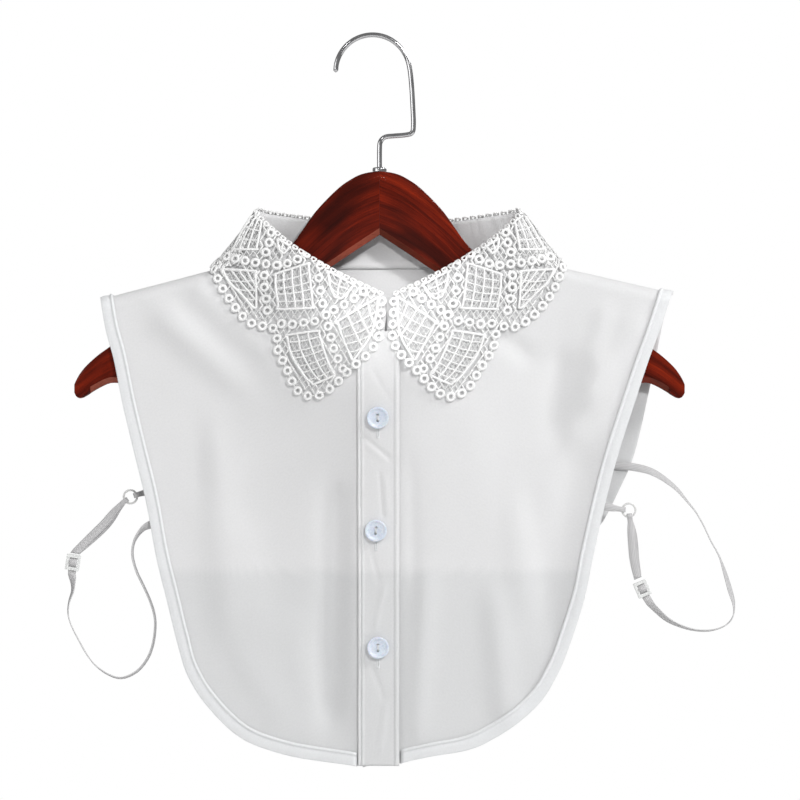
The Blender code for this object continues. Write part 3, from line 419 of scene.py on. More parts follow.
# %% [markdown]
# ## Varnished mahogany
# The hanger is stained a deep red brown and varnished. The stain sinks unevenly into the grain, so
# long dark streaks run down each arm, with short fine pores between them. The UV map `grain` runs
# along the arm, and the streaks follow its bend. The varnish is a clear coat over it, which pools
# unevenly. The faces of the lower chamfer are painted a lighter, pinker brown, more on the right
# arm: a painted reflection of the light that they catch.

# %% Varnished wood
wood, tree, shader = new_look(
    "varnished_wood", Roughness=0.5, Coat_Roughness=0.06, Coat_IOR=1.42)
grain_map = node(tree, "ShaderNodeUVMap", {"uv_map": "grain"}).outputs["UV"]


def streaks(along, across, detail):
    """Noise drawn out along the arm."""
    stretched = node(tree, "ShaderNodeMapping", None, {
        "Vector": grain_map, "Scale": (along, across, 1)})
    noise = node(tree, "ShaderNodeTexNoise", None, {
        "Vector": stretched.outputs[0], "Scale": 1.0, "Detail": detail, "Roughness": 0.62})
    return noise.outputs["Fac"]


broad, fine, pores = streaks(6, 110, 5.0), streaks(30, 900, 3.0), streaks(170, 3200, 1.0)
stain = node(tree, "ShaderNodeValToRGB", None, {"Fac": broad})
stain.color_ramp.elements[0].position = 0.30
stain.color_ramp.elements[0].color = (0.026, 0.0030, 0.0012, 1)
stain.color_ramp.elements[1].position = 0.70
stain.color_ramp.elements[1].color = (0.30, 0.0230, 0.0050, 1)
middle_stain = stain.color_ramp.elements.new(0.5)
middle_stain.color = (0.150, 0.0110, 0.0032, 1)
shader.inputs["Specular IOR Level"].default_value = 0.03
fine_dark = blend(tree, between(tree, fine, 0.35, 0.65, 0.4, 0.0), stain.outputs["Color"],
                  (0.018, 0.002, 0.0015, 1))
blotch = streaks(9, 22, 2.0)
fine_dark = blend(tree, between(tree, blotch, 0.5, 0.66, 0.0, 0.8), fine_dark,
                  (0.016, 0.002, 0.0012, 1))
# Painted reflection: the faces of the lower chamfer are painted a lighter, pinker brown.
painted_chamfer_light = node(tree, "ShaderNodeAttribute", {"attribute_name": "painted_chamfer_light"}).outputs["Fac"]
fine_dark = blend(tree, painted_chamfer_light, fine_dark, (0.40, 0.115, 0.075, 1))
pored = blend(tree, between(tree, pores, 0.60, 0.72, 0.0, 0.5), fine_dark, (0.01, 0.001, 0.001, 1))
tree.links.new(pored, shader.inputs["Base Color"])
pool = put(tree, handling, {"Place": grain_map, "Size": 0.02})["Mask"]
tree.links.new(between(tree, pool, 0.0, 1.0, 0.15, 0.35), shader.inputs["Coat Weight"])
bump(tree, shader, maths(tree, "ADD", pool, fine), 0.00006)
print("finish:", wood.name)

# %% [markdown]
# ## Chrome
#
# The hook is plated wire. Chrome takes its look from what it reflects, so it only needs a metal
# colour, a low roughness and the finger marks of the handling group.

# %% Chrome
chrome, tree, shader = new_look("chrome", Metallic=1.0)
place = node(tree, "ShaderNodeTexCoord").outputs["Object"]
marks = put(tree, handling, {"Place": place, "Size": 0.012})["Mask"]
steel = blend(tree, marks, (0.55, 0.55, 0.56, 1), (0.70, 0.70, 0.71, 1))
tree.links.new(steel, shader.inputs["Base Color"])
tree.links.new(between(tree, marks, 0.0, 1.0, 0.08, 0.2), shader.inputs["Roughness"])
drawn = node(tree, "ShaderNodeTexNoise", None, {"Vector": place, "Scale": 900.0})
bump(tree, shader, drawn.outputs["Fac"], 0.00001)
print("finish:", chrome.name)

# %% [markdown]
# ## Meshes from points
#
# Every cloth piece here starts as a grid of points in millimetres. One function turns points and
# faces into an object, gives it its UV map in metres of cut cloth, lets it ride on the hanger's
# body and hides the CAD nodes that it stands for. Smooth shading and a fine grid do the rest.

# %% Mesh tools
def add_piece(name, points, faces, look, slot, stands_for=(), cut=None):
    """Adds a mesh from points in millimetres; `cut` gives their places on the flat cloth."""
    mesh = bpy.data.meshes.new(name)
    mesh.from_pydata((np.asarray(points, float) * MM).tolist(), [], faces)
    mesh.materials.append(look)
    mesh.shade_smooth()
    if cut is not None:
        corners = np.empty(len(mesh.loops), np.int32)
        mesh.loops.foreach_get("vertex_index", corners)
        layer = mesh.uv_layers.new(name="cut")
        layer.data.foreach_set("uv", (np.asarray(cut, float)[corners] * MM).ravel())
    mesh.update()
    piece = bpy.data.objects.new(name, mesh)
    bpy.context.scene.collection.objects.link(piece)
    return settle(piece, stands_for)


def settle(piece, stands_for=()):
    """Lets a piece ride on the body, and hides the CAD nodes that it stands for."""
    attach(piece, BODY)
    if stands_for:
        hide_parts(*stands_for)
    return piece


def grid_faces(rows, columns, flip=False):
    faces = []
    for i in range(rows - 1):
        k = i + 1
        for j in range(columns - 1):
            face = (i * columns + j, i * columns + j + 1, k * columns + j + 1, k * columns + j)
            faces.append(face[::-1] if flip else face)
    return faces


def unit(vectors):
    return vectors / np.maximum(np.linalg.norm(vectors, axis=-1, keepdims=True), 1e-12)


print("mesh tools ready")

# %% [markdown]
# ## Curves through a few points
#
# Cloth has no corners, so the short tables of heights and edges are read as smooth curves. The
# first function reads a table of values at rising places, the second one runs through points in
# space and spaces them evenly along the curve.

# %% Smooth curves
def along(place, table, column):
    """A smooth curve through one column of a table, over its first column."""
    knots = np.array([row[0] for row in table], float)
    values = np.array([row[column] for row in table], float)
    slopes = np.gradient(values, knots)
    place = np.clip(place, knots[0], knots[-1])
    spot = np.clip(np.searchsorted(knots, place, side="right") - 1, 0, len(knots) - 2)
    gap = knots[spot + 1] - knots[spot]
    t = (place - knots[spot]) / gap
    start = (1 + 2 * t) * (1 - t) ** 2 * values[spot] + t * (1 - t) ** 2 * gap * slopes[spot]
    end = t * t * (3 - 2 * t) * values[spot + 1] + t * t * (t - 1) * gap * slopes[spot + 1]
    return start + end


def smooth(points, count=None, at=None, pitch=None):
    """Points along a smooth curve: `count` even ones, one each `pitch`, or at given lengths."""
    given = np.array(points, float)
    padded = np.vstack([2 * given[0] - given[1], given, 2 * given[-1] - given[-2]])
    fine = []
    for a, b, c, d in zip(padded, padded[1:], padded[2:], padded[3:]):
        for t in np.linspace(0, 1, 12, endpoint=False):
            bend = (2 * a - 5 * b + 4 * c - d) * t**2 + (3 * b - a - 3 * c + d) * t**3
            fine.append(0.5 * (2 * b + (c - a) * t + bend))
    fine = np.array(fine + [given[-1]])
    run = np.concatenate([[0], np.cumsum(np.linalg.norm(np.diff(fine, axis=0), axis=1))])
    if pitch:
        count = max(2, round(run[-1] / pitch) + 1)
    if at is None:
        at = np.linspace(0, run[-1], count)
    elif count:
        at = np.concatenate([at, np.linspace(at[-1], run[-1], count - len(at) + 1)[1:]])
    return np.column_stack([np.interp(at, run, column) for column in fine.T])


def smoothstep(low, high, value):
    t = np.clip((value - low) / (high - low), 0, 1)
    return t * t * (3 - 2 * t)


print("curves ready")

# %% [markdown]
# ## How the cloth hangs
#
# The fronts and the back are one drape: the cloth rolls over the shoulder line on a radius that
# is widest at the neck, where the collar holds it open, and then hangs straight. A point on it is
# named by x and by q, the distance from the shoulder line measured down the cloth, so x and q are
# also the place on the flat cut. These numbers repeat those of the CAD solids.

# %% The drape
ROLL_SIDE, ROLL_FRONT, ROLL_BACK = 8.2, 28.0, 20.0  # radius of the roll at the sides and neck
ROLL_REACH = 115.0
HANG, EASE = 7.0, 160.0  # half the depth where it hangs, and the fall over which it gets there
LAP, LAP_FULL, LAP_NONE = 1.0, 16.0, 42.0  # step outwards where the fronts overlap
SHOULDER = (  # x, z
    (-205.0, -184.1), (-150.0, -169.8), (-96.0, -155.7), (-60.0, -146.6), (-20.0, -135.0),
    (6.0, -130.0), (32.0, -134.6), (72.0, -146.0), (108.0, -155.0), (150.0, -164.6),
    (215.0, -179.5),
)


def shoulder(x):
    return along(x, SHOULDER, 1)


def roll(x, side):
    """Radius of the cloth's roll over the shoulder line."""
    most = ROLL_FRONT if side == FRONT else ROLL_BACK
    share = np.minimum(1, np.abs(x - MIDDLE) / ROLL_REACH)
    return ROLL_SIDE + (most - ROLL_SIDE) * np.cos(math.pi / 2 * share) ** 2


def below(x, z, side):
    """Distance along the cloth from the shoulder line down to the height z."""
    r = roll(x, side)
    drop = np.maximum(shoulder(x) - z, 0)
    rolled = r * np.arccos(np.clip(1 - drop / r, 0, 1))
    return np.where(drop < r, rolled, r * math.pi / 2 + drop - r)


print("shoulder at the neck:", round(float(shoulder(MIDDLE)), 1), "mm")

# %% [markdown]
# ## Creases
#
# A collar that has been folded away keeps soft creases. Each row of the table is one ridge or
# trough: it runs from one point to another, fades out past both ends, and stands in or out by a
# millimetre or two. No two are alike. The largest run from the points of the shoulders towards
# the armholes, where the hanger's ends push the cloth out, and down beside the placket.

# %% Creases
CREASES = (  # side, x and z where it starts and ends, half width, how far it stands out
    (FRONT, -118.0, -180.0, -84.0, -212.0, 10.5, 3.0),
    (FRONT, 172.0, -203.0, 147.0, -244.0, 10.0, 3.2),
    (FRONT, 149.0, -232.0, 137.0, -268.0, 11.0, 3.4),
    (FRONT, 154.0, -194.0, 147.0, -216.0, 7.0, 2.0),
    (FRONT, 139.0, -262.0, 141.0, -288.0, 12.0, -1.6),
    (FRONT, -124.0, -276.0, -122.0, -306.0, 9.0, -1.3),
    (FRONT, 32.0, -378.0, 26.0, -472.0, 8.0, 2.4),
    (FRONT, 80.0, -392.0, 86.0, -456.0, 10.0, 2.8),
    (FRONT, -44.0, -396.0, -40.0, -426.0, 11.0, -1.4),
    (FRONT, -30.5, -322.0, -33.0, -458.0, 9.5, -6.2),
    (FRONT, -17.0, -330.0, -18.0, -440.0, 5.0, 0.9),
    (FRONT, -142.0, -197.0, -104.0, -231.0, 11.0, 3.5),
    (FRONT, 124.0, -228.0, 121.0, -264.0, 9.5, -3.2),
    (FRONT, 84.0, -206.0, 97.0, -216.0, 7.5, -2.2),
    (FRONT, -86.0, -250.0, -98.0, -300.0, 12.0, 0.7),
    (FRONT, -114.0, -284.0, -103.0, -392.0, 13.0, 2.6),
    (FRONT, 134.0, -300.0, 117.0, -396.0, 13.0, -2.8),
    (FRONT, 62.0, -262.0, 74.0, -330.0, 13.0, 0.8),
    (FRONT, 22.0, -300.0, 24.0, -372.0, 5.0, -0.8),
    (FRONT, 108.0, -330.0, 116.0, -382.0, 9.0, -0.9),
    (FRONT, 94.0, -328.0, 98.0, -380.0, 11.0, 1.9),
    (FRONT, -92.0, -352.0, -84.0, -396.0, 12.0, 1.3),
    (FRONT, -96.0, -420.0, -72.0, -462.0, 10.0, 0.9),
    (BACK, 46.0, -236.0, 62.0, -338.0, 15.0, 2.4),
    (BACK, -58.0, -226.0, -82.0, -330.0, 15.0, 2.2),
    (BACK, -2.0, -262.0, 4.0, -346.0, 12.0, 1.8),
    (BACK, 148.0, -206.0, 112.0, -252.0, 12.0, 1.9),
    (BACK, -146.0, -204.0, -118.0, -244.0, 13.0, 1.6),
    (BACK, 22.0, -300.0, 30.0, -352.0, 8.0, -1.1),
    (BACK, -38.0, -280.0, -36.0, -344.0, 9.0, -1.2),
    (BACK, 96.0, -274.0, 104.0, -330.0, 9.0, -0.9),
)


CREASE_FADE = 1.5  # how far a crease fades out past its ends, in half widths


def crease(x, z, row, fade):
    x0, z0, x1, z1, width, out = row
    length = math.hypot(x1 - x0, z1 - z0)
    far = ((x - x0) * (x1 - x0) + (z - z0) * (z1 - z0)) / length
    off = ((x - x0) * (z1 - z0) - (z - z0) * (x1 - x0)) / length
    past = np.maximum(0, np.maximum(-far, far - length))
    return out * np.exp(-((off / width) ** 2) - (past / (fade * width)) ** 2)


def crease_height(x, z, side):
    """How far the creases lift the cloth outwards."""
    height = np.zeros(np.broadcast(x, z).shape)
    for panel, *row in CREASES:
        if panel == side:
            height += crease(x, z, row, CREASE_FADE)
    return height


def drape(x, q, side, lap=0):
    """Points on a panel's middle, q below the shoulder line as measured down the cloth."""
    r = roll(x, side)
    turn = np.minimum(q / r, math.pi / 2)
    fall = np.maximum(q - r * math.pi / 2, 0)
    z = shoulder(x) - r * (1 - np.cos(turn)) - fall
    hanging = HANG + (r - HANG) * np.exp(-((fall / EASE) ** 2))
    depth = np.where(fall > 0, hanging, r * np.sin(turn)) + crease_height(x, z, side)
    depth = depth + lap * LAP * (1 - smoothstep(LAP_FULL, LAP_NONE, np.abs(x)))
    return np.stack(np.broadcast_arrays(x, side * depth, z), axis=-1)


def outward(x, q, side, lap=0):
    """The panel's outward direction there."""
    step = 0.4  # how far apart two points are that give the direction
    across = drape(x + step, q, side, lap) - drape(x - step, q, side, lap)
    down = drape(x, q + step, side, lap) - drape(x, np.maximum(q - step, 0), side, lap)
    return unit(np.cross(across, down) * side)


print("creases:", len(CREASES))

# %% [markdown]
# ## Elastic at the sides
#
# The free elastic comes first, because its route and length are fixed by the real strap. On each
# side a flat 5.5 mm elastic leaves one panel, hangs in a loose loop that twists nearly edge on,
# and comes up to a slider. There it doubles, goes round a small ring and back. A short tab holds
# the ring to the other panel. The routes are those of the CAD solids, and each point also gives
# the strap's twist, from flat (0) to edge on (90).

# %% Routes
RIGHT_STRAP = (  # x, z, twist
    (-147.0, -332.6, 0), (-152.0, -334.0, 0), (-157.0, -335.3, 10), (-163.2, -338.8, 56),
    (-168.7, -347.0, 80), (-170.1, -356.7, 84), (-167.3, -367.8, 84), (-162.5, -378.1, 84),
    (-157.7, -389.2, 84), (-154.9, -399.5, 84), (-154.9, -409.9, 82), (-157.0, -420.9, 80),
    (-161.1, -429.9, 78), (-168.0, -437.5, 76), (-177.7, -441.6, 75), (-186.6, -439.5, 76),
    (-195.6, -433.3, 80), (-201.8, -425.7, 84), (-207.3, -416.1, 84), (-212.9, -405.0, 83),
    (-214.9, -396.8, 80), (-214.2, -389.2, 76), (-211.8, -381.6, 62), (-211.6, -374.9, 36),
    (-212.6, -368.2, 10),
)
LEFT_STRAP = (
    (155.0, -295.0, 0), (162.0, -295.0, 0), (169.4, -295.7, 0), (175.6, -296.2, 10),
    (186.6, -298.8, 30), (195.6, -303.6, 46), (205.3, -311.2, 66), (212.9, -320.2, 80),
    (218.4, -327.1, 84), (223.9, -336.7, 84), (228.7, -347.0, 84), (234.3, -357.4, 80),
    (238.4, -369.2, 60), (241.8, -380.9, 54), (244.4, -390.4, 76), (243.9, -398.8, 84),
    (239.1, -405.0, 82), (230.1, -408.5, 78), (219.8, -408.8, 76), (209.4, -406.4, 68),
    (199.1, -401.6, 52), (190.8, -394.4, 36), (184.4, -387.4, 18),
)
RIGHT_FOLD = ((-210.6, -355.6), (-200.1, -346.0), (-189.4, -335.6), (-182.2, -326.4),
              (-177.0, -320.4))
LEFT_FOLD = ((178.2, -372.8), (175.8, -360.0), (174.6, -347.0), (173.2, -336.0),
             (172.4, -331.0))
RIGHT_RING, LEFT_RING = (-172.2, -316.7), (171.8, -325.7)
RIGHT_TAB = ((-166.6, -315.0), (-160.0, -313.2), (-154.0, -311.5), (-147.0, -309.6))
LEFT_TAB = ((166.0, -325.0), (160.5, -324.0), (154.0, -323.0), (144.0, -321.6))
STRAP_WIDTH, STRAP = 5.5, 0.8
RING_RADIUS, RING_WIRE = 4.6, 0.7
RING_DEPTH = 3.0
STRAP_INSIDE = 6.0  # depth of a strap where it is sewn inside a panel
COMES_OUT = (0.12, 0.6)  # shares of the single run over which it comes to the middle
STRAP_POINTS, FOLD_POINTS, TAB_POINTS = 136, 26, 16
SLIDER_END, SQUARE_FROM, SQUARE_TO = 11.0, 22.0, 12.0  # before the end: see side_straps
ROUND_WIRE = 1.3  # from a ring's wire to the middle of the strap round it
BENT_WIDTH = 3.6  # of the strap where it is gathered round a ring's wire
LAYERS_APART = (0.85, 1.5)  # from the doubled run's middle to each layer, at slider and ring
BULGE, LEAN = 0.9, 0.9  # how far its layers part between the ends, in depth and sideways
TAB_STEP = 0.7  # the tab's step towards the middle as it nears the ring
TAIL, TAIL_DEPTH = 3.2, 1.5  # end of the tab past the ring, and its depth behind it
print("route points:", len(RIGHT_STRAP), len(LEFT_STRAP))

# %% Ribbons
RIBBON_PROFILE = np.array(((1, 0.4), (0.92, 1), (0, 0.86), (-0.92, 1), (-1, 0.4),
                           (-1, -0.4), (-0.92, -1), (0, -0.86), (0.92, -1), (1, -0.4)))


def sideways(path):
    """Unit directions square to a path, in the XZ plane."""
    run = np.gradient(np.asarray(path, float)[:, [0, 2]], axis=0)
    return unit(np.stack([run[:, 1], np.zeros(len(run)), -run[:, 0]], axis=1))


def turned_across(path, turns):
    """Directions of a strap's width: twist 0 faces the front, twist 90 shows the front its edge."""
    flat_way = sideways(path)
    turns = np.radians(turns)[:, None]
    run = unit(np.gradient(path, axis=0))
    return np.cos(turns) * flat_way + np.sin(turns) * np.cross(flat_way, run)


def ribbon(name, path, across, widths, thickness, stands_for):
    """A flat strap along a path, with ribbed edges, and closed at its ends."""
    path = np.asarray(path, float)
    up = unit(np.cross(across, np.gradient(path, axis=0))) * thickness / 2
    half = unit(across) * np.asarray(widths, float).reshape(-1, 1) / 2
    rings = [path + half * u + up * v for u, v in RIBBON_PROFILE]
    points = np.stack(rings, axis=1)
    sides = len(RIBBON_PROFILE)
    run = np.concatenate([[0], np.cumsum(np.linalg.norm(np.diff(path, axis=0), axis=1))])
    cut = np.stack(np.broadcast_arrays(
        RIBBON_PROFILE[:, 0] * np.reshape(widths, (-1, 1)) / 2, run[:, None]), axis=-1)
    faces = [tuple(range(sides)), tuple(sides * len(path) - 1 - k for k in range(sides))]
    for i in range(len(path) - 1):
        for k in range(sides):
            a, b = sides * i + k, sides * i + (k + 1) % sides
            faces.append((b, a, a + sides, b + sides))
    return add_piece(name, points.reshape(-1, 3), faces, elastic_white, "elastic", stands_for,
                     cut.reshape(-1, 2))


print("ribbon profile:", len(RIBBON_PROFILE), "points")

# %% [markdown]
# ## Slider and ring
#
# The slider is a small moulded plate with two slots and a bar between them. It starts as a grid
# whose lines are moved to the slots' edges; two faces come out, the rest is extruded to its
# thickness, and a bevel rounds every edge as a mould does. The ring is a torus.

# %% Slider
SLIDER_X = (-4.8, -3.3, 3.3, 4.8)  # lines across and along the plate
SLIDER_Y = (-5.5, -3.2, -1.0, 1.0, 3.2, 5.5)
SLIDER_THICK, SLIDER_EDGE = 1.8, 0.42


def place_mesh(piece, x_way, y_way, place):
    """Turns and moves a finished mesh, so that its object stays at the origin."""
    x_way, y_way = Vector(x_way).normalized(), Vector(y_way).normalized()
    z_way = x_way.cross(y_way)
    for vertex in piece.data.vertices:
        x, y, z = vertex.co
        vertex.co = x_way * x + y_way * y + z_way * z + Vector(place) * MM
    piece.data.update()


def make_slider(name, start, end, stands_for):
    bpy.ops.object.select_all(action="DESELECT")
    bpy.ops.mesh.primitive_grid_add(
        x_subdivisions=len(SLIDER_X) - 1, y_subdivisions=len(SLIDER_Y) - 1, size=2)
    plate = bpy.context.object
    plate.name = name
    columns, rows = len(SLIDER_X), len(SLIDER_Y)
    for vertex in plate.data.vertices:
        i = round((vertex.co.x + 1) / 2 * (columns - 1))
        j = round((vertex.co.y + 1) / 2 * (rows - 1))
        vertex.co = (SLIDER_X[i] * MM, SLIDER_Y[j] * MM, -SLIDER_THICK / 2 * MM)
    bpy.ops.object.mode_set(mode="EDIT")
    mesh = bmesh.from_edit_mesh(plate.data)
    for face in mesh.faces:
        middle = face.calc_center_median() / MM
        face.select = abs(middle.x) < 1 and SLIDER_Y[3] < abs(middle.y) < SLIDER_Y[4]
    bpy.ops.mesh.delete(type="FACE")
    bpy.ops.mesh.select_all(action="SELECT")
    bpy.ops.mesh.extrude_region_move(
        TRANSFORM_OT_translate={"value": (0, 0, SLIDER_THICK * MM)})
    bpy.ops.mesh.select_all(action="SELECT")
    bpy.ops.mesh.normals_make_consistent(inside=False)
    bpy.ops.object.mode_set(mode="OBJECT")
    rounded = plate.modifiers.new("mould", "BEVEL")
    rounded.width, rounded.segments = SLIDER_EDGE * MM, 3
    rounded.limit_method = "ANGLE"
    bpy.ops.object.modifier_apply(modifier=rounded.name)
    plate.data.materials.append(slider_white)
    plate.data.shade_smooth()
    start, end = np.array(start), np.array(end)
    middle, to = (start + end) / 2, end - start
    place_mesh(plate, (to[1], 0, -to[0]), (to[0], 0, to[1]), (middle[0], 0, middle[1]))
    return settle(plate, stands_for)


# %% Ring
def make_ring(name, centre, depth, stands_for):
    bpy.ops.object.select_all(action="DESELECT")
    bpy.ops.mesh.primitive_torus_add(
        major_radius=RING_RADIUS * MM, minor_radius=RING_WIRE * MM,
        major_segments=48, minor_segments=14)
    ring = bpy.context.object
    ring.name = name
    # The wire is pressed a little flat, and its joint leaves a small swelling.
    for vertex in ring.data.vertices:
        turn = math.atan2(vertex.co.y, vertex.co.x)
        swell = 1 + 0.06 * math.exp(-((turn - 2.2) / 0.12) ** 2)
        vertex.co = (vertex.co.x * (0.995 + 0.005 * swell), vertex.co.y, vertex.co.z * swell)
    ring.data.materials.append(ring_white)
    ring.data.shade_smooth()
    place_mesh(ring, (1, 0, 0), (0, 0, 1), (centre[0], depth, centre[1]))
    return settle(ring, stands_for)


print("slider and ring ready")

# %% [markdown]
# ## Threading the straps
#
# The single run ends in the slider: it dips behind the plate's lower rail, comes up through the
# first slot, lies over the bar and goes down through the second slot. The doubled run is one
# hairpin that starts at the slider and goes round the ring's wire, narrowed where it bends.

# %% Strap paths
def round_wire(ring, away, depth, first=1):
    """Points that go round a ring's wire, on the side `away` from its middle."""
    wrap = RING_WIRE + ROUND_WIRE
    points = []
    for angle in np.radians(np.linspace(90, -90, 11)):
        spot = ring + away * (RING_RADIUS - wrap * math.cos(angle))
        points.append((spot[0], depth + first * wrap * math.sin(angle), spot[1]))
    return points


def same_way(across):
    """Flips directions that point against the first one, so that a ribbon doesn't turn over."""
    return across * np.where(across @ across[0] < 0, -1, 1)[:, None]


def through_slider(path, start, end):
    """Adds the stretch that threads the slider to the end of a single run."""
    to = (np.array(end) - start) / np.linalg.norm(np.subtract(end, start))
    middle = (np.array(start) + end) / 2
    threaded = [(-4.3, 1.45), (-3.1, 1.1), (-2.1, 0.0), (-1.1, -1.1), (0.0, -1.4),
                (1.1, -1.1), (2.1, 0.0), (3.1, 1.2), (4.4, 1.5)]
    extra = [(middle[0] + to[0] * far, depth, middle[1] + to[1] * far) for far, depth in threaded]
    return smooth(np.vstack([path[:-3], extra]), pitch=0.9)


def hairpin(name, run, ring, ring_depth, square, stands_for):
    """The doubled strap, from the slider round the ring's wire and back along itself."""
    run = smooth(run, FOLD_POINTS)
    away = (run[-1] - ring) / np.linalg.norm(run[-1] - ring)
    share = np.linspace(0, 1, FOLD_POINTS)
    apart = np.linspace(*LAYERS_APART, FOLD_POINTS) + BULGE * np.sin(math.pi * share) ** 2
    front_layer = np.column_stack([run[:, 0], ring_depth * share + apart, run[:, 1]])
    back_layer = np.column_stack([run[:, 0], ring_depth * share - apart, run[:, 1]])[::-1]
    wrap = round_wire(ring, away, ring_depth)
    flat_way = sideways(front_layer)
    flat_way[0] = square if np.dot(flat_way[0], square) > 0 else -square
    # The two layers lean apart, as the real ones do.
    lean = np.sin(math.pi * share)[:, None] * LEAN
    front_layer += flat_way * lean
    back_layer -= flat_way[::-1] * lean
    path = np.vstack([front_layer, wrap, back_layer])
    bend = np.tile((-away[1], 0, away[0]), (len(wrap), 1))
    across = same_way(np.vstack([flat_way, bend, flat_way[::-1]]))
    narrow = STRAP_WIDTH - (STRAP_WIDTH - BENT_WIDTH) * smoothstep(0.7, 1.0, share)
    widths = np.concatenate([narrow, np.full(len(wrap), BENT_WIDTH), narrow[::-1]])
    return ribbon(name, path, across, widths, STRAP, stands_for)


def tab_strap(name, points, ring, ring_depth, last, stands_for):
    """The short tab, from inside the panel round the ring's wire and back under itself."""
    away = (np.array(points[0]) - ring) / np.linalg.norm(np.array(points[0]) - ring)
    run = smooth(points, TAB_POINTS)[::-1]
    flat_way = sideways(np.column_stack([run[:, 0], np.zeros(TAB_POINTS), run[:, 1]]))
    share = np.linspace(0, 1, TAB_POINTS)
    depth = last * (STRAP_INSIDE - TAB_STEP * smoothstep(0.6, 1.0, share))
    wrap = round_wire(ring, away, ring_depth, last)
    tail = ring + away * (RING_RADIUS + TAIL)
    path = np.vstack([np.column_stack([run[:, 0], depth, run[:, 1]]), wrap,
                      [(tail[0], ring_depth - last * TAIL_DEPTH, tail[1])]])
    bend = np.tile((-away[1], 0, away[0]), (len(wrap) + 1, 1))
    across = same_way(np.vstack([flat_way, bend]))
    narrow = STRAP_WIDTH - (STRAP_WIDTH - BENT_WIDTH) * smoothstep(0.6, 1.0, share)
    widths = np.concatenate([narrow, np.full(len(wrap) + 1, BENT_WIDTH)])
    return ribbon(name, path, across, widths, STRAP, stands_for)


# %% Make both sides' straps
def side_straps(side, route, fold, ring, tab, first, last):
    """The single run leaves the panel on the Y side `first`; the tab ends on the side `last`.

    The table of twists ends SLIDER_END before the run's end, and between SQUARE_FROM and
    SQUARE_TO before it the strap turns square to the slider.
    """
    ring = np.array(ring)
    points = smooth(route, STRAP_POINTS)
    shares = np.linspace(0, 1, STRAP_POINTS)
    depth = first * STRAP_INSIDE * (1 - smoothstep(*COMES_OUT, shares))
    path = np.column_stack([points[:, 0], depth, points[:, 1]])
    start, end = np.array(route[-1][:2]), np.array(fold[0])
    to = (end - start) / np.linalg.norm(end - start)
    square = np.array([to[1], 0, -to[0]])
    threaded = through_slider(path, start, end)
    length = np.linalg.norm(np.diff(threaded, axis=0), axis=1).sum() * MM
    run_share = np.linspace(0, 1, len(threaded))
    passed = np.concatenate([[0], np.cumsum(np.linalg.norm(np.diff(path, axis=0), axis=1))])
    turns = np.interp(run_share, passed / passed[-1] * (1 - SLIDER_END * MM / length),
                      points[:, 2])
    slider_share = smoothstep(
        1 - SQUARE_FROM * MM / length, 1 - SQUARE_TO * MM / length, run_share)[:, None]
    across = turned_across(threaded, turns)
    square = square if np.dot(across[-30], square) > 0 else -square
    across = unit(across * (1 - slider_share) + square * slider_share)
    strap = ribbon(side + "_elastic", threaded, across, np.full(len(threaded), STRAP_WIDTH),
                   STRAP, (side + "_strap",))
    ring_depth = last * RING_DEPTH
    others = [
        make_slider(side + "_adjuster", start, end, (side + "_slider",)),
        hairpin(side + "_doubled", fold, ring, ring_depth, square, (side + "_strap_fold",)),
        make_ring(side + "_loop", ring, ring_depth, (side + "_ring",)),
        tab_strap(side + "_tab_strap", tab, ring, ring_depth, last, (side + "_tab",)),
    ]
    print(side, "elastic:", round(length, 3), "m")


side_straps("right", RIGHT_STRAP, RIGHT_FOLD, RIGHT_RING, RIGHT_TAB, FRONT, BACK)
side_straps("left", LEFT_STRAP, LEFT_FOLD, LEFT_RING, LEFT_TAB, BACK, FRONT)

# %% [markdown]
# ## The fronts and the back
#
# A pattern cutter draws a panel by its edges: the neckline, and the outline that runs down the
# armhole and along the hem. Rows of points fan out from one to the other, and their last step is
# the bound edge. Each panel is a single grid on the drape with a real wall from Solidify. The UV
# map of each cut comes from the same grid, laid flat.

# %% Panel edges
RIGHT_FRONT_EDGE = (  # x, z, from the shoulder down the armhole and along the hem
    (-192.2, None), (-188.0, -201.5), (-182.5, -222.0), (-176.3, -253.0), (-168.7, -285.0),
    (-160.3, -320.0), (-153.5, -357.0), (-146.0, -388.0), (-138.3, -419.0), (-131.4, -440.0),
    (-118.3, -460.2), (-96.9, -480.9), (-72.8, -491.3), (-40.0, -498.0), (-15.6, -501.4),
)
LEFT_FRONT_EDGE = (
    (202.5, None), (192.5, -201.5), (185.0, -222.0), (174.8, -253.0), (164.6, -285.0),
    (155.3, -320.0), (147.0, -357.0), (140.5, -388.0), (130.5, -419.0), (121.5, -440.0),
    (108.0, -460.2), (81.1, -480.9), (56.2, -491.3), (14.6, -499.8),
)
BACK_EDGE = (
    (202.5, None), (197.0, -192.5), (188.0, -236.7), (177.0, -285.0), (165.9, -311.9),
    (152.1, -337.4), (134.9, -349.8), (103.2, -362.3), (60.0, -366.8), (12.0, -368.0),
    (-32.8, -371.2), (-85.2, -368.5), (-112.1, -361.6), (-138.3, -345.7), (-151.5, -329.0),
    (-160.5, -309.0), (-170.0, -280.0), (-182.0, -232.0), (-188.0, -201.5), (-192.2, None),
)
COLLAR = (  # step, neck seam d and z, fold d and z; d is measured from the centre line
    (0.00, 0.0, -203.0, 0.0, -180.4),
    (0.25, 37.0, -192.0, 33.0, -164.5),
    (0.50, 68.0, -177.0, 60.0, -148.5),
    (0.75, 84.0, -167.0, 74.0, -137.8),
    (1.00, 94.0, -161.0, 83.0, -130.0),
    (1.50, 102.0, -155.5, 89.7, -120.0),
    (2.00, 90.0, -156.7, 80.0, -121.5),
    (2.50, 50.0, -155.0, 45.0, -126.0),
    (3.00, 0.0, -154.6, 0.0, -129.7),
)
SHOULDER_STEP = 1.5
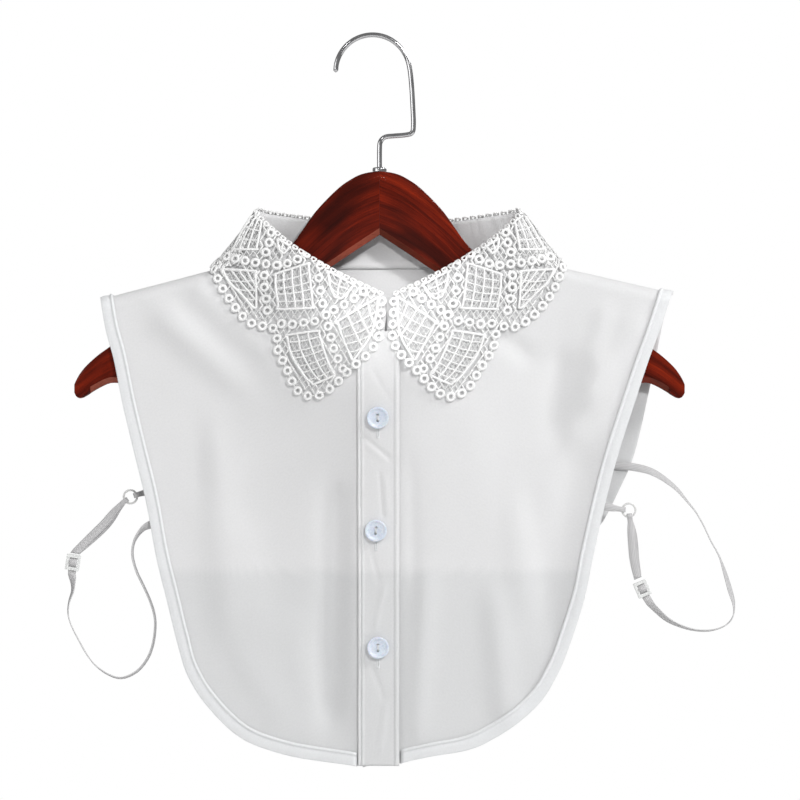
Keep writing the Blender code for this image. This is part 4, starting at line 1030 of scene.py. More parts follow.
FRONT_LEAN, FRONT_LEAN_FROM = 0.07, -180.0  # the centre front drifts to the right as it falls
HALF_SEAM = 0.17


def centre_x(z):
    return MIDDLE - FRONT_LEAN * np.maximum(0, FRONT_LEAN_FROM - z)


def collar_curve(step, side, d_column, z_column):
    """x and z of a collar curve at the given steps of its half."""
    z = along(step, COLLAR, z_column)
    return centre_x(z) + side * along(step, COLLAR, d_column), z


def neckline(side, steps, facing):
    """x and q along the neck seam."""
    x, z = collar_curve(steps, side, 1, 2)
    q = np.maximum(below(x, z, facing), HALF_SEAM)
    return np.column_stack([x, np.where(steps == SHOULDER_STEP, HALF_SEAM, q)])


def outline_of(edge, side):
    return [(x, HALF_SEAM if z is None else float(below(x, z, side))) for x, z in edge]


print("edge points:", len(RIGHT_FRONT_EDGE), len(LEFT_FRONT_EDGE), len(BACK_EDGE))

# %% Panel grids
NEAR_ROLL = np.arange(0, 27, 1.5)  # lengths down the edge where the cloth rolls
NECK_ROLL, BACK_NECK_ROLL = 1.15, 0.92  # on the neckline they are multiplied by these
FRONT_ROWS, FAN_COLUMNS, BAND_COLUMNS = 150, 46, 7
NECK_FROM = {FRONT: 1.4, BACK: 1.6}  # the steps on each side of the shoulder
NECK_END = {RIGHT: 0.14, LEFT: 0.07}  # each front's last step, at its lap
FRONT_NECK_STEPS, BACK_NECK_STEPS = 24, 15
LAP_X = {RIGHT: 13.0, LEFT: -11.5}  # where each front's lap ends
LAP_STEPS = 6  # rows from the fan to the centre, and again from there to the lap's end
LEAST_FACING = 0.5  # cosine of the steepest slant for which a row's band is lengthened
MEASURE_POINTS = 400


def fan(outline, inner):
    """Rows of (x, q) from the inner line to the outline; the last steps are the band."""
    run = np.gradient(outline, axis=0)
    normal = unit(np.stack([run[:, 1], -run[:, 0]], axis=1))
    inward = unit(inner - outline)
    facing = np.abs(np.sum(normal * inward, axis=1, keepdims=True))
    band = outline + inward * BAND_WIDTH / np.maximum(facing, LEAST_FACING)
    share = np.linspace(0, 1, FAN_COLUMNS)[None, :, None]
    cloth = inner[:, None] * (1 - share) + band[:, None] * share
    share = np.linspace(0, 1, BAND_COLUMNS)[None, 1:, None]
    edge = band[:, None] * (1 - share) + outline[:, None] * share
    return np.concatenate([cloth, edge], axis=1)


def front_grid(edge, side):
    """One front, flat: x and q, from the shoulder round to the lap's straight end."""
    steps = np.linspace(NECK_FROM[FRONT], NECK_END[side], FRONT_NECK_STEPS)
    inner = smooth(neckline(side, np.concatenate([[SHOULDER_STEP], steps]), FRONT),
                   FRONT_ROWS, NEAR_ROLL * NECK_ROLL)
    grid = fan(smooth(outline_of(edge, FRONT), FRONT_ROWS, NEAR_ROLL), inner)
    throat, rise = COLLAR[0][2], (COLLAR[1][2] - COLLAR[0][2]) / COLLAR[1][1]
    last = grid[-1]
    down = (last[:, 1] - last[0, 1]) / (last[-1, 1] - last[0, 1])
    stops = [grid]
    start, start_top = last[:, 0], last[0, 1]
    for lapped in (float(centre_x(throat)), LAP_X[side]):
        top = float(below(lapped, throat + rise * abs(lapped - centre_x(throat)), FRONT))
        for share in np.linspace(0, 1, LAP_STEPS + 1)[1:]:
            x = start + (lapped - start) * share
            q_top = start_top + (top - start_top) * share
            q = q_top + down * (last[-1, 1] - q_top)
            stops.append(np.stack([x, q], axis=-1)[None])
        start, start_top = np.full(len(last), lapped), top
    return np.concatenate(stops)


def back_grid():
    """The back, flat, in one piece from shoulder to shoulder."""
    steps = np.linspace(NECK_FROM[BACK], COLLAR[-1][0], BACK_NECK_STEPS)
    half = np.concatenate([[SHOULDER_STEP], steps])
    neck = np.vstack([neckline(LEFT, half, BACK), neckline(RIGHT, half[-2::-1], BACK)])
    rows = []
    for line, ease in ((outline_of(BACK_EDGE, BACK), 1.0), (neck, BACK_NECK_ROLL)):
        fine = smooth(line, MEASURE_POINTS)
        total = np.linalg.norm(np.diff(fine, axis=0), axis=1).sum() - 1e-6
        ends = NEAR_ROLL * ease
        inner = np.linspace(ends[-1], total - ends[-1], FRONT_ROWS)[1:-1]
        rows.append(smooth(line, at=np.concatenate([ends, inner, total - ends[::-1]])))
    return fan(*rows)


flat = {
    "front_right": front_grid(RIGHT_FRONT_EDGE, RIGHT),
    "front_left": front_grid(LEFT_FRONT_EDGE, LEFT),
    "back": back_grid(),
}

# %% Sew the panels
# Heights over which the painted brighter white fades in: above the back's hem on the fronts, and
# above the neck facing's edge on the back.
BACKING_LIGHT_FROM, BACKING_LIGHT_TO = -371.0, -364.0  # the back's hem, seen through the fronts
FACING_FROM, FACING_TO = -262.0, -232.0  # the facing inside the back of the neck


def walled(piece, thickness):
    """Gives a surface its cloth wall."""
    wall = piece.modifiers.new("wall", "SOLIDIFY")
    wall.thickness, wall.offset = thickness * MM, 0.0
    wall.use_even_offset = False
    return piece


def paint_backing_light(piece, painted_backing_light):
    """Records from 0 to 1 where another layer backs the piece, and the white is painted brighter.
    """
    mark = piece.data.attributes.new("painted_backing_light", "FLOAT", "POINT")
    mark.data.foreach_set("value", np.ascontiguousarray(painted_backing_light.ravel(), np.float32))


def on_drape(name, grid, side, lap, out, look, slot, thickness, stands_for, relief=0.0):
    """A piece of cloth on the drape, `out` millimetres outside its middle."""
    x, q = grid[..., 0], grid[..., 1]
    points = drape(x, q, side, lap)
    points = points + outward(x, q, side, lap) * (out + np.asarray(relief))[..., None]
    along_row, along_column = np.gradient(points, axis=0), np.gradient(points, axis=1)
    facing = np.cross(along_column, along_row)[..., 1].sum() * side
    faces = grid_faces(*grid.shape[:2], flip=facing < 0)
    piece = add_piece(
        name, points.reshape(-1, 3), faces, look, slot, stands_for, grid.reshape(-1, 2))
    # Painted light: a brighter white where another layer lies behind the piece.
    painted_backing_light = smoothstep(BACKING_LIGHT_FROM, BACKING_LIGHT_TO, points[..., 2]) if side == FRONT else (
        smoothstep(FACING_FROM, FACING_TO, points[..., 2]))
    paint_backing_light(piece, painted_backing_light)
    return walled(piece, thickness), points


panels = {}
for panel_name, panel_side, panel_lap in (
        ("front_right", FRONT, 1), ("front_left", FRONT, -1), ("back", BACK, 0)):
    panels[panel_name], _ = on_drape(
        panel_name + "_cloth", flat[panel_name], panel_side, panel_lap, 0.0, cloth_white,
        "cloth", CLOTH, (panel_name,))
print("panels:", ", ".join(panels))

# %% [markdown]
# ## Bound edges
#
# The armholes and the hem are bound with a strip of the same cloth, folded over the raw edge and
# turned under at its inner side, where the fold and the seam beneath stand up like a thin cord.
# The strip's grid is the last 8 mm of each panel's fan, with its columns packed where that cord
# is. A line of stitches runs beside it, and the strip puckers a little between them.

# %% Bound edges
BAND_SHARES = np.array(
    (0, 0.04, 0.08, 0.12, 0.16, 0.2, 0.25, 0.31, 0.4, 0.55, 0.7, 0.85, 0.94, 1.0))
CORD_AT, CORD_HIGH, CORD_WIDE = 1.0, 0.62, 0.55  # the raised inner edge, in millimetres
GROOVE_AT, GROOVE_DEEP, GROOVE_WIDE = 2.3, 0.22, 0.5
SWELL_AT, SWELL_HIGH, SWELL_WIDE = 5.4, 0.25, 2.2
STITCH_PITCH, STITCH_WIDE = 2.7, 0.17
STITCH_LIFT = 0.05  # a stitch's middle over the cloth's surface


def hump(place, centre, wide, high):
    return high * np.exp(-(((place - centre) / wide) ** 2))


def puckers(run, deep, lengths=(5.3, 8.1, 12.7)):
    """Uneven ripples along a seam."""
    return sum(deep * np.sin(2 * math.pi * run / length + k) for k, length in enumerate(lengths))


def capsules(starts, ends, normals, wide):
    """Points and faces of short threads, each with four sides and two pointed tips."""
    points, faces = [], []
    for start, end, normal in zip(starts, ends, normals):
        run = (end - start) / np.linalg.norm(end - start)
        side = np.cross(normal, run)
        base = len(points)
        points.append(start)
        for spot in (start + run * wide, end - run * wide):
            for way in (normal, side, -normal, -side):
                points.append(spot + way * wide)
        points.append(end)
        for k in range(4):
            n = (k + 1) % 4
            faces.append((base, base + 1 + k, base + 1 + n))
            faces.append((base + 1 + k, base + 5 + k, base + 5 + n, base + 1 + n))
            faces.append((base + 5 + k, base + 9, base + 5 + n))
    return points, [face[::-1] for face in faces]


def stitch_line(points, normals):
    """Starts, ends and normals of the stitches along a line of points."""
    both = smooth(np.hstack([points, normals]), pitch=STITCH_PITCH / 3)
    count = min(len(both[::3]), len(both[2::3]))
    starts, ends = both[::3][:count], both[2::3][:count]
    return starts[:, :3], ends[:, :3], unit(starts[:, 3:])


def bound_edge(name, grid, side, lap):
    """The strip, and its stitches as a piece of their own."""
    inner, outer = grid[:, FAN_COLUMNS - 1], grid[:, -1]
    strip = inner[:, None] * (1 - BAND_SHARES[:, None]) + outer[:, None] * BAND_SHARES[:, None]
    place = BAND_SHARES * BAND_WIDTH
    run = np.concatenate([[0], np.cumsum(np.linalg.norm(np.diff(outer, axis=0), axis=1))])
    ripple = puckers(run, 0.05)[:, None] * np.sin(math.pi * BAND_SHARES) ** 2
    relief = (hump(place, CORD_AT, CORD_WIDE, CORD_HIGH)
              - hump(place, GROOVE_AT, GROOVE_WIDE, GROOVE_DEEP)
              + hump(place, SWELL_AT, SWELL_WIDE, SWELL_HIGH) + ripple)
    out = (CLOTH + BAND) / 2 + LIE
    piece, points = on_drape(name + "_bound", strip, side, lap, out, bound_white, "bound_edge",
                             BAND, (name + "_band",), relief)
    column = int(np.argmin(np.abs(place - GROOVE_AT)))
    normals = outward(strip[:, column, 0], strip[:, column, 1], side, lap)
    lifted = points[:, column] + normals * (BAND / 2 + STITCH_LIFT)
    starts, ends, ways = stitch_line(lifted[1:-1], normals[1:-1])
    add_piece(name + "_stitches", *capsules(starts, ends, ways, STITCH_WIDE), sewing_white,
              "bound_edge")
    print(f"{name} bound edge: {run[-1]:.0f} mm, {len(starts)} stitches")


LAP_ROWS = 2 * LAP_STEPS  # the bound edge doesn't cover the lap
bound_edge("front_right", flat["front_right"][:-LAP_ROWS], FRONT, 1)
bound_edge("front_left", flat["front_left"][:-LAP_ROWS], FRONT, -1)
bound_edge("back", flat["back"], BACK, 0)

# %% [markdown]
# ## The button placket
#
# A doubled strip lies down the right front's edge. On its outer side the fold and the row of
# stitching stand up as two narrow ridges with a groove between them; on the other side one soft
# ridge catches the light. The strip has been pressed and buttoned, so it has small hard creases,
# which a short table places.

# %% Placket
PLACKET_X, PLACKET_TOP, PLACKET_HEM = (-14.5, 13.5), -206.0, -501.0
PLACKET_RIDGES = (  # distance from the right edge as worn, half width, height
    (0.6, 0.5, 0.55), (1.9, 0.5, -0.55), (3.1, 0.6, 0.35),
    (26.2, 1.0, 0.45), (24.3, 0.6, -0.22),
)
PLACKET_CREASES = (  # x and z where it starts and ends, half width, how far it stands out
    (-9.3, -276.0, 6.4, -289.0, 1.6, -0.55),
    (-7.0, -281.0, 3.0, -290.0, 1.8, 0.3),
    (0.4, -302.0, 2.4, -328.0, 1.5, -0.5),
    (4.6, -306.0, 5.8, -324.0, 2.0, 0.35),
    (-6.0, -352.0, -1.0, -372.0, 1.8, -0.35),
    (3.0, -380.0, -2.0, -402.0, 2.2, 0.4),
    (-5.0, -434.0, 2.0, -452.0, 2.2, -0.35),
    (4.0, -462.0, 1.0, -488.0, 2.4, 0.35),
    (-3.0, -232.0, 5.0, -246.0, 2.0, -0.3),
)


PLACKET_FADE = 2.0
PLACKET_SEAMS = (1.9, 24.3)  # distances from the right edge as worn to the rows of stitching
edge_columns = np.arange(0, 4.4, 0.3)
across_strip = np.concatenate(
    [edge_columns, np.linspace(4.6, 22.8, 24), np.arange(23.1, 28.01, 0.35), [28.0]])
strip_x = PLACKET_X[0] + across_strip
strip_top, strip_hem = (below(strip_x, z, FRONT) for z in (PLACKET_TOP, PLACKET_HEM))
strip_q = strip_top + (strip_hem - strip_top) * np.linspace(0, 1, 200)[:, None]
strip_grid = np.stack(np.broadcast_arrays(strip_x, strip_q), axis=-1)
strip_z = drape(strip_grid[..., 0], strip_grid[..., 1], FRONT, 1)[..., 2]
strip_relief = sum(hump(across_strip, *row) for row in PLACKET_RIDGES)
strip_relief = strip_relief + sum(
    crease(strip_x, strip_z, row, PLACKET_FADE) for row in PLACKET_CREASES)
strip_relief += puckers(strip_q, 0.04) * hump(across_strip, 3.0, 3.0, 1.0)
placket, placket_points = on_drape(
    "placket_strip", strip_grid, FRONT, 1, CLOTH + LIE, cloth_white, "cloth", CLOTH,
    ("placket",), strip_relief)
placket_stitches = []
for distance in PLACKET_SEAMS:
    column = int(np.argmin(np.abs(across_strip - distance)))
    ways = outward(strip_x[column] + 0 * strip_q[:, column], strip_q[:, column], FRONT, 1)
    line = placket_points[:, column] + ways * (CLOTH / 2 + STITCH_LIFT)
    placket_stitches.append(stitch_line(line[1:-1], ways[1:-1]))
joined = [np.concatenate(rows) for rows in zip(*placket_stitches)]
add_piece("placket_stitches", *capsules(*joined, STITCH_WIDE), sewing_white, "cloth")
print("placket stitches:", len(joined[0]))

# %% [markdown]
# ## Buttons and buttonholes
#
# A shirt button is a turned disc: a rounded rim round a shallow dish, with holes drilled through
# the dish. So it starts as a cylinder whose top is inset and pushed down, a bevel rounds its
# edges, and Booleans drill the two holes. Thread runs through them. Each button stands square on
# the placket where it is sewn, and the second one is turned a little.

# %% Buttons
BUTTONS = ((-1.0, -261.5, 2.0), (-2.4, -338.8, -7.0), (-1.0, -419.5, 0.0))  # x, z, turn in degrees
BUTTON_RADIUS, BUTTON_HEIGHT, DISH_DEEP = 7.5, 2.8, 1.0
HOLE_RADIUS, HOLE_OUT = 1.0, 1.9
RIM, SLOPE, DISH = 1.35, 0.75, 1.3  # widths of the rings from the edge inwards
SLOPE_SHARE = 0.75  # of the dish's depth that the slope goes down
TURNED_EDGE = 0.55
THREAD_OFF, THREAD_RADIUS = 0.42, 0.3  # a strand's distance from the middle, and its radius


def only_top_face(piece):
    """Selects the highest flat face of a piece in edit mode."""
    mesh = bmesh.from_edit_mesh(piece.data)
    top = max(face.calc_center_median().z for face in mesh.faces)
    for face in mesh.faces:
        face.select_set(
            abs(face.calc_center_median().z - top) < 1e-6 and face.normal.z > 0.9)
    bmesh.update_edit_mesh(piece.data)


def turned_button(name):
    bpy.ops.object.select_all(action="DESELECT")
    bpy.ops.mesh.primitive_cylinder_add(
        vertices=56, radius=BUTTON_RADIUS * MM, depth=BUTTON_HEIGHT * MM,
        location=(0, 0, BUTTON_HEIGHT / 2 * MM))
    disc = bpy.context.object
    disc.name = name
    bpy.ops.object.transform_apply(location=True, rotation=False, scale=False)
    bpy.ops.object.mode_set(mode="EDIT")
    only_top_face(disc)
    bpy.ops.mesh.inset(thickness=RIM * MM, depth=0)
    bpy.ops.mesh.inset(thickness=SLOPE * MM, depth=-SLOPE_SHARE * DISH_DEEP * MM)
    bpy.ops.mesh.inset(thickness=DISH * MM, depth=-(1 - SLOPE_SHARE) * DISH_DEEP * MM)
    bpy.ops.object.mode_set(mode="OBJECT")
    edge = disc.modifiers.new("turned", "BEVEL")
    edge.width, edge.segments, edge.limit_method = TURNED_EDGE * MM, 4, "ANGLE"
    edge.angle_limit = math.radians(25)
    bpy.ops.object.modifier_apply(modifier=edge.name)
    for way in (-1, 1):
        bpy.ops.mesh.primitive_cylinder_add(
            vertices=20, radius=HOLE_RADIUS * MM, depth=3 * BUTTON_HEIGHT * MM,
            location=(0, way * HOLE_OUT * MM, 0))
        drill = bpy.context.object
        bpy.ops.object.select_all(action="DESELECT")
        bpy.context.view_layer.objects.active = disc
        disc.select_set(True)
        cut = disc.modifiers.new("drilled", "BOOLEAN")
        cut.object, cut.solver = drill, "EXACT"
        bpy.ops.object.modifier_apply(modifier=cut.name)
        bpy.data.objects.remove(drill, do_unlink=True)
    disc.data.shade_smooth()
    disc.data.set_sharp_from_angle(angle=math.radians(38))
    return disc


def tube(path, radius, sides=6, flat=1.0, ups=None):
    """Points and faces of a round cord along a path, closed by a tip at each end."""
    path = np.asarray(path, float)
    run = unit(np.gradient(path, axis=0))
    if ups is None:
        ups = np.tile((0.13, 0.31, 0.94), (len(path), 1))
    side = unit(np.cross(run, ups))
    up = np.cross(side, run)
    radii = np.broadcast_to(np.asarray(radius, float), len(path))[:, None]
    points = [path[0] - run[0] * radii[0] * 0.6]
    for k in range(sides):
        turn = 2 * math.pi * k / sides
        points.append(path + side * radii * math.cos(turn) + up * radii * flat * math.sin(turn))
    body = np.stack(points[1:], axis=1).reshape(-1, 3)
    points = np.vstack([points[0], body, path[-1] + run[-1] * radii[-1] * 0.6])
    faces, last = [], len(points) - 1
    for k in range(sides):
        n = (k + 1) % sides
        faces.append((0, 1 + k, 1 + n))
        faces.append((last - sides + k, last, last - sides + n))
        for i in range(len(path) - 1):
            a = 1 + i * sides
            faces.append((a + k, a + sides + k, a + sides + n, a + n))
    return points, [face[::-1] for face in faces]


def gathered(shapes):
    """Joins several (points, faces) into one."""
    points, faces, base = [], [], 0
    for some, around in shapes:
        points.append(np.asarray(some, float))
        faces += [tuple(v + base for v in face) for face in around]
        base += len(some)
    return np.vstack(points), faces


button_discs = []
for count, (x, z, turn) in enumerate(BUTTONS, 1):
    q = float(below(x, z, FRONT))
    normal = Vector(outward(np.array(x), np.array(q), FRONT, 1))
    foot = Vector(drape(x, q, FRONT, 1)) + normal * (1.5 * CLOTH + 2 * LIE)
    x_way = Vector((math.cos(math.radians(turn)), 0, math.sin(math.radians(turn))))
    y_way = normal.cross(x_way)
    disc = turned_button(f"button_disc_{count}")
    disc.data.materials.append(resin)
    place_mesh(disc, y_way.cross(normal), y_way, foot)
    settle(disc, (f"button_{count}",))
    strands = []
    for off in (-THREAD_OFF, THREAD_OFF):
        arch = [(off, HOLE_OUT * way * s, h) for way, s, h in (
            (-1, 1.05, 0.4), (-1, 1.0, 1.5), (-1, 0.75, 2.15), (1, 0.0, 2.3), (1, 0.75, 2.15),
            (1, 1.0, 1.5), (1, 1.05, 0.4))]
        strands.append(tube(smooth(arch, 15), THREAD_RADIUS))
    points, faces = gathered(strands)
    frame_ways = np.array((y_way.cross(normal), y_way, normal))
    add_piece(f"button_thread_{count}", points @ frame_ways + np.array(foot), faces, sewing_white,
              "button")
    button_discs.append(disc)
print("buttons:", len(button_discs), "with", len(button_discs[0].data.polygons), "faces each")

# %% [markdown]
# Below each button the end of its buttonhole shows: a slit worked all round with close stitches.
# Short threads laid side by side along both lips make it, with a bar across its end.

# %% Buttonholes
HOLE_ABOVE, HOLE_BELOW, LIP = 5.5, 13.0, 0.75  # reach above and below the button, half width
HOLE_STITCH, HOLE_THREAD = 0.55, 0.3  # from one stitch to the next, and its radius


def worked_hole(x, z):
    starts, ends, ways = [], [], []
    heights = np.arange(z - HOLE_BELOW, z + HOLE_ABOVE, HOLE_STITCH)
    for height in heights:
        for way in (-1, 1):
            for reach, found in ((0.12, starts), (LIP + 0.35, ends)):
                q = below(x + way * reach, height, FRONT)
                normal = outward(np.array(x + way * reach), q, FRONT, 1)
                spot = drape(x + way * reach, q, FRONT, 1)
                found.append(spot + normal * (1.5 * CLOTH + LIE + 0.12))
            ways.append(normal)
    for height in (z - HOLE_BELOW - 0.5, z - HOLE_BELOW - 0.9):
        for reach, found in ((-LIP - 0.5, starts), (LIP + 0.5, ends)):
            q = below(x + reach, height, FRONT)
            normal = outward(np.array(x + reach), q, FRONT, 1)
            found.append(drape(x + reach, q, FRONT, 1) + normal * (1.5 * CLOTH + LIE + 0.2))
        ways.append(normal)
    return capsules(starts, ends, ways, HOLE_THREAD)


for count, (x, z, turn) in enumerate(BUTTONS, 1):
    add_piece(f"buttonhole_{count}", *worked_hole(x + 0.2, z), sewing_white, "cloth")
print("buttonholes:", len(BUTTONS))

# %% [markdown]
# ## The wooden hanger
#
# Each arm is a board, sawn to a long bent outline and shaped along its edges: the upper edge is
# only eased, and the lower one has a wide flat chamfer. A flat grid is drawn out to the outline,
# extruded to the board's thickness, and two bevels shape its edges. The two arms meet at the
# middle in a fine joint. The UV map follows the board, for the grain.

# %% Arm outline
HANGER = (  # x, top z, bottom z
    (0.03, -92.5, -135.8), (7.0, -93.1, -140.4), (14.0, -95.0, -145.0), (20.5, -98.5, -149.3),
    (27.0, -103.0, -153.7), (36.0, -111.5, -159.7), (45.0, -121.5, -165.2), (53.0, -133.0, -169.6),
    (60.0, -142.5, -173.4), (68.0, -149.8, -177.8), (80.0, -155.3, -184.3),
    (96.0, -158.6, -193.1), (108.0, -162.2, -199.6), (120.0, -167.0, -206.2),
    (135.0, -175.6, -214.4), (150.0, -185.5, -222.6), (168.0, -198.8, -232.4),
    (178.0, -206.9, -237.6), (186.0, -213.4, -238.2), (193.5, -218.8, -241.5),
    (201.5, -226.0, -246.3), (206.0, -231.5, -248.6), (208.6, -236.0, -247.4),
    (210.0, -239.2, -244.6),
)
HALF_BOARD = 6.5
EASED, CHAMFER = 2.6, 3.6  # of the upper and the lower edge
ARM_COLUMNS, ARM_ROWS = 96, 5
TIP_FROM, CHAMFER_TO = 205.0, 199.0  # the tip is eased all round, and the chamfer stops short of it


def arm(name, side, stands_for):
    bpy.ops.object.select_all(action="DESELECT")
    bpy.ops.mesh.primitive_grid_add(
        x_subdivisions=ARM_COLUMNS, y_subdivisions=ARM_ROWS, size=2)
    board = bpy.context.object
    board.name = name
    outline = smooth(HANGER, ARM_COLUMNS + 1)
    for vertex in board.data.vertices:
        column = round((vertex.co.x + 1) / 2 * ARM_COLUMNS)
        share = (vertex.co.y + 1) / 2
        x, top, bottom = outline[column]
        vertex.co = (side * x * MM, -HALF_BOARD * MM, (bottom + (top - bottom) * share) * MM)
    bpy.ops.object.mode_set(mode="EDIT")
    bpy.ops.mesh.select_all(action="SELECT")
    bpy.ops.mesh.extrude_region_move(
        TRANSFORM_OT_translate={"value": (0, 2 * HALF_BOARD * MM, 0)})
    bpy.ops.mesh.select_all(action="SELECT")
    bpy.ops.mesh.normals_make_consistent(inside=False)
    bpy.ops.object.mode_set(mode="OBJECT")
    shape_edge(board, outline, side, True, EASED, 5)
    shape_edge(board, outline, side, False, CHAMFER, 1)
    board.data.materials.append(wood)
    board.data.shade_smooth()
    board.data.set_sharp_from_angle(angle=math.radians(40))
    grain_uv(board, outline, side)
    mark_painted_chamfer_light(board, side)
    return settle(board, stands_for)


def shape_edge(board, outline, side, upper, width, segments):
    """Bevels the board's two long edges along its top or its bottom."""
    bpy.ops.object.mode_set(mode="EDIT")
    mesh = bmesh.from_edit_mesh(board.data)
    for edge in mesh.edges:
        edge.select_set(False)
    for edge in mesh.edges:
        if len(edge.link_faces) != 2 or edge.calc_face_angle(0) < math.radians(60):
            continue
        middle = (edge.verts[0].co + edge.verts[1].co) / 2 / MM
        if abs(edge.verts[0].co.y - edge.verts[1].co.y) > 1e-5 or abs(middle.x) < 0.3:
            continue
        height = np.interp(abs(middle.x), outline[:, 0], (outline[:, 1] + outline[:, 2]) / 2)
        if upper:
            edge.select_set(bool(middle.z > height or abs(middle.x) > TIP_FROM))
        else:
            edge.select_set(bool(middle.z < height and abs(middle.x) < CHAMFER_TO))
    bmesh.update_edit_mesh(board.data)
    bpy.ops.mesh.bevel(offset=width * MM, segments=segments, clamp_overlap=True)
    bpy.ops.object.mode_set(mode="OBJECT")


def grain_uv(board, outline, side):
    """u runs along the arm and v across it, in metres."""
    centre = np.column_stack([outline[:, 0], (outline[:, 1] + outline[:, 2]) / 2])
    run = np.concatenate([[0], np.cumsum(np.linalg.norm(np.diff(centre, axis=0), axis=1))])
    layer = board.data.uv_layers.new(name="grain")
    for loop, corner in zip(board.data.loops, layer.data):
        x, y, z = board.data.vertices[loop.vertex_index].co / MM
        u = np.interp(abs(x), centre[:, 0], run)
        v = z - np.interp(abs(x), centre[:, 0], centre[:, 1])
        corner.uv = ((u + 300 * side) * MM, (v + 0.6 * y) * MM)


def mark_painted_chamfer_light(board, side):
    """Records how strongly the faces of the lower chamfer are painted lighter, as a reflection."""
    values = []
    for face in board.data.polygons:
        slanted = min(-face.normal.z, -face.normal.y) > SLANTED
        values.append(CHAMFER_LIGHT[side] if slanted else 0.0)
    mark = board.data.attributes.new("painted_chamfer_light", "FLOAT", "FACE")
    mark.data.foreach_set("value", values)


# How strongly each arm's lower chamfer is painted lighter, as a reflection.
CHAMFER_LIGHT = {RIGHT: 0.62, LEFT: 0.2}
SLANTED = 0.4  # how far a face leans both down and to the front
for arm_name, arm_side in (("right", RIGHT), ("left", LEFT)):
    board = arm("arm_" + arm_name, arm_side, ("hanger_" + arm_name,))
    print(board.name, len(board.data.polygons), "faces")

# %% [markdown]
# ## The hook and its nut
#
# The hook is one length of plated wire, bent cold, so it is one curve with a round section, and
# its end is rounded off. Below it a small nut clamps it to the wood: a cylinder whose upper edge
# is bevelled to a collar.

# %% Hook
HOOK_RADIUS, HOOK_ARC = 1.7, 25.5
HOOK_MIDDLE = (-4.8, -23.31)
HOOK_SHANK = (  # x, z, from the arc's end down to the nut
    (21.0, -22.0), (22.2, -34.0), (23.0, -48.0), (23.4, -60.0), (22.4, -65.4), (18.0, -66.9),
    (10.0, -67.6), (3.8, -68.4), (0.6, -71.6), (0.0, -77.0), (0.0, -91.0),
)
HOOK_PITCH = 1.2
NUT_RADIUS, NUT_HIGH, NUT_MIDDLE, NUT_BEVEL = 4.85, 2.7, -90.75, 1.1


def hook_wire():
    route = []
    for angle in np.radians(np.linspace(181, 19, 14)):
        route.append((HOOK_MIDDLE[0] + HOOK_ARC * math.cos(angle),
                      HOOK_MIDDLE[1] + HOOK_ARC * math.sin(angle)))
    points = smooth(route + list(HOOK_SHANK), pitch=HOOK_PITCH)
    bpy.ops.object.select_all(action="DESELECT")
    bpy.ops.curve.primitive_nurbs_path_add()
    wire = bpy.context.object
    wire.name = "hook_wire"
    wire.data.splines.clear()
    line = wire.data.splines.new("POLY")
    line.points.add(len(points) - 1)
    for count, (knot, (x, z)) in enumerate(zip(line.points, points)):
        knot.co = (x * MM, 0, z * MM, 1)
        # The cut end is rounded off over the first few points.
        cut_back = max(0, 1 - count * HOOK_PITCH / HOOK_RADIUS)
        knot.radius = math.sqrt(max(0.04, 1 - cut_back**2))
    wire.data.bevel_depth = HOOK_RADIUS * MM
    wire.data.bevel_resolution = 6
    wire.data.use_fill_caps = True
    bpy.ops.object.convert(target="MESH")
    wire.data.materials.clear()
    wire.data.materials.append(chrome)
    wire.data.shade_smooth()
    return settle(wire, ("hook",))


def nut():
    bpy.ops.object.select_all(action="DESELECT")
    bpy.ops.mesh.primitive_cylinder_add(
        vertices=36, radius=NUT_RADIUS * MM, depth=NUT_HIGH * MM,
        location=(0, 0, NUT_MIDDLE * MM))
    collar = bpy.context.object
    collar.name = "nut_collar"
    bpy.ops.object.transform_apply(location=True, rotation=False, scale=False)
    bpy.ops.object.mode_set(mode="EDIT")
    only_top_face(collar)
    bpy.ops.mesh.bevel(offset=NUT_BEVEL * MM, segments=4)
    bpy.ops.object.mode_set(mode="OBJECT")
    collar.data.materials.append(chrome)
    collar.data.shade_smooth()
    collar.data.set_sharp_from_angle(angle=math.radians(50))
    return settle(collar, ("hook_nut",))


print(hook_wire().name, nut().name)

# %% [markdown]
# ## The collar stand
#
# The stand is a strip of cloth that rises from the neck seam all round and carries the lace on its
# upper edge, where the collar folds over. It is sewn a little full, so small gathers run down from
# the fold, mostly towards the back on the left. At its foot the seam pulls a fine groove. The same
# steps name places on the stand and on the lace: 0 at centre front, 1.5 on the shoulder, 3 at
# centre back.

# %% Neck seam and fold line
FOLD_DEPTH = 0.87  # depth of the fold, as a share of the neck seam's
STAND_LIFT = 0.6  # from the neck seam up to the stand's lower edge
SHOULDER_EASE = 0.12  # steps on each side of the shoulder over which front turns into back
STEPS = np.unique(np.concatenate([np.linspace(0.004, 3.0, 131), np.linspace(1.4, 1.6, 21)]))


def neck_points(step, side):
    """Neck seam in space; it lies on the panels' middle."""
    x, z = collar_curve(step, side, 1, 2)
    depths = [np.abs(drape(x, below(x, z, way), way)[..., 1]) for way in (FRONT, BACK)]
    facing = np.where(step < SHOULDER_STEP, FRONT, BACK)
    depth = np.where(facing == FRONT, *depths)
    near = np.minimum(1, np.abs(step - SHOULDER_STEP) / SHOULDER_EASE)
    return np.stack([x, facing * depth * near, z], axis=-1)


def fold_points(step, side):
    """The line where the collar turns over."""
    x, z = collar_curve(step, side, 3, 4)
    return np.stack([x, neck_points(step, side)[..., 1] * FOLD_DEPTH, z], axis=-1)


def grid_normals(grid):
    """Unit normals of a grid of points, pointing away from the collar's axis."""
    normal = unit(np.cross(np.gradient(grid, axis=0), np.gradient(grid, axis=1)))
    away = grid - np.array([MIDDLE, 0, -150.0])
    return normal if np.sum(normal * away * (1, 4, 0)) > 0 else -normal


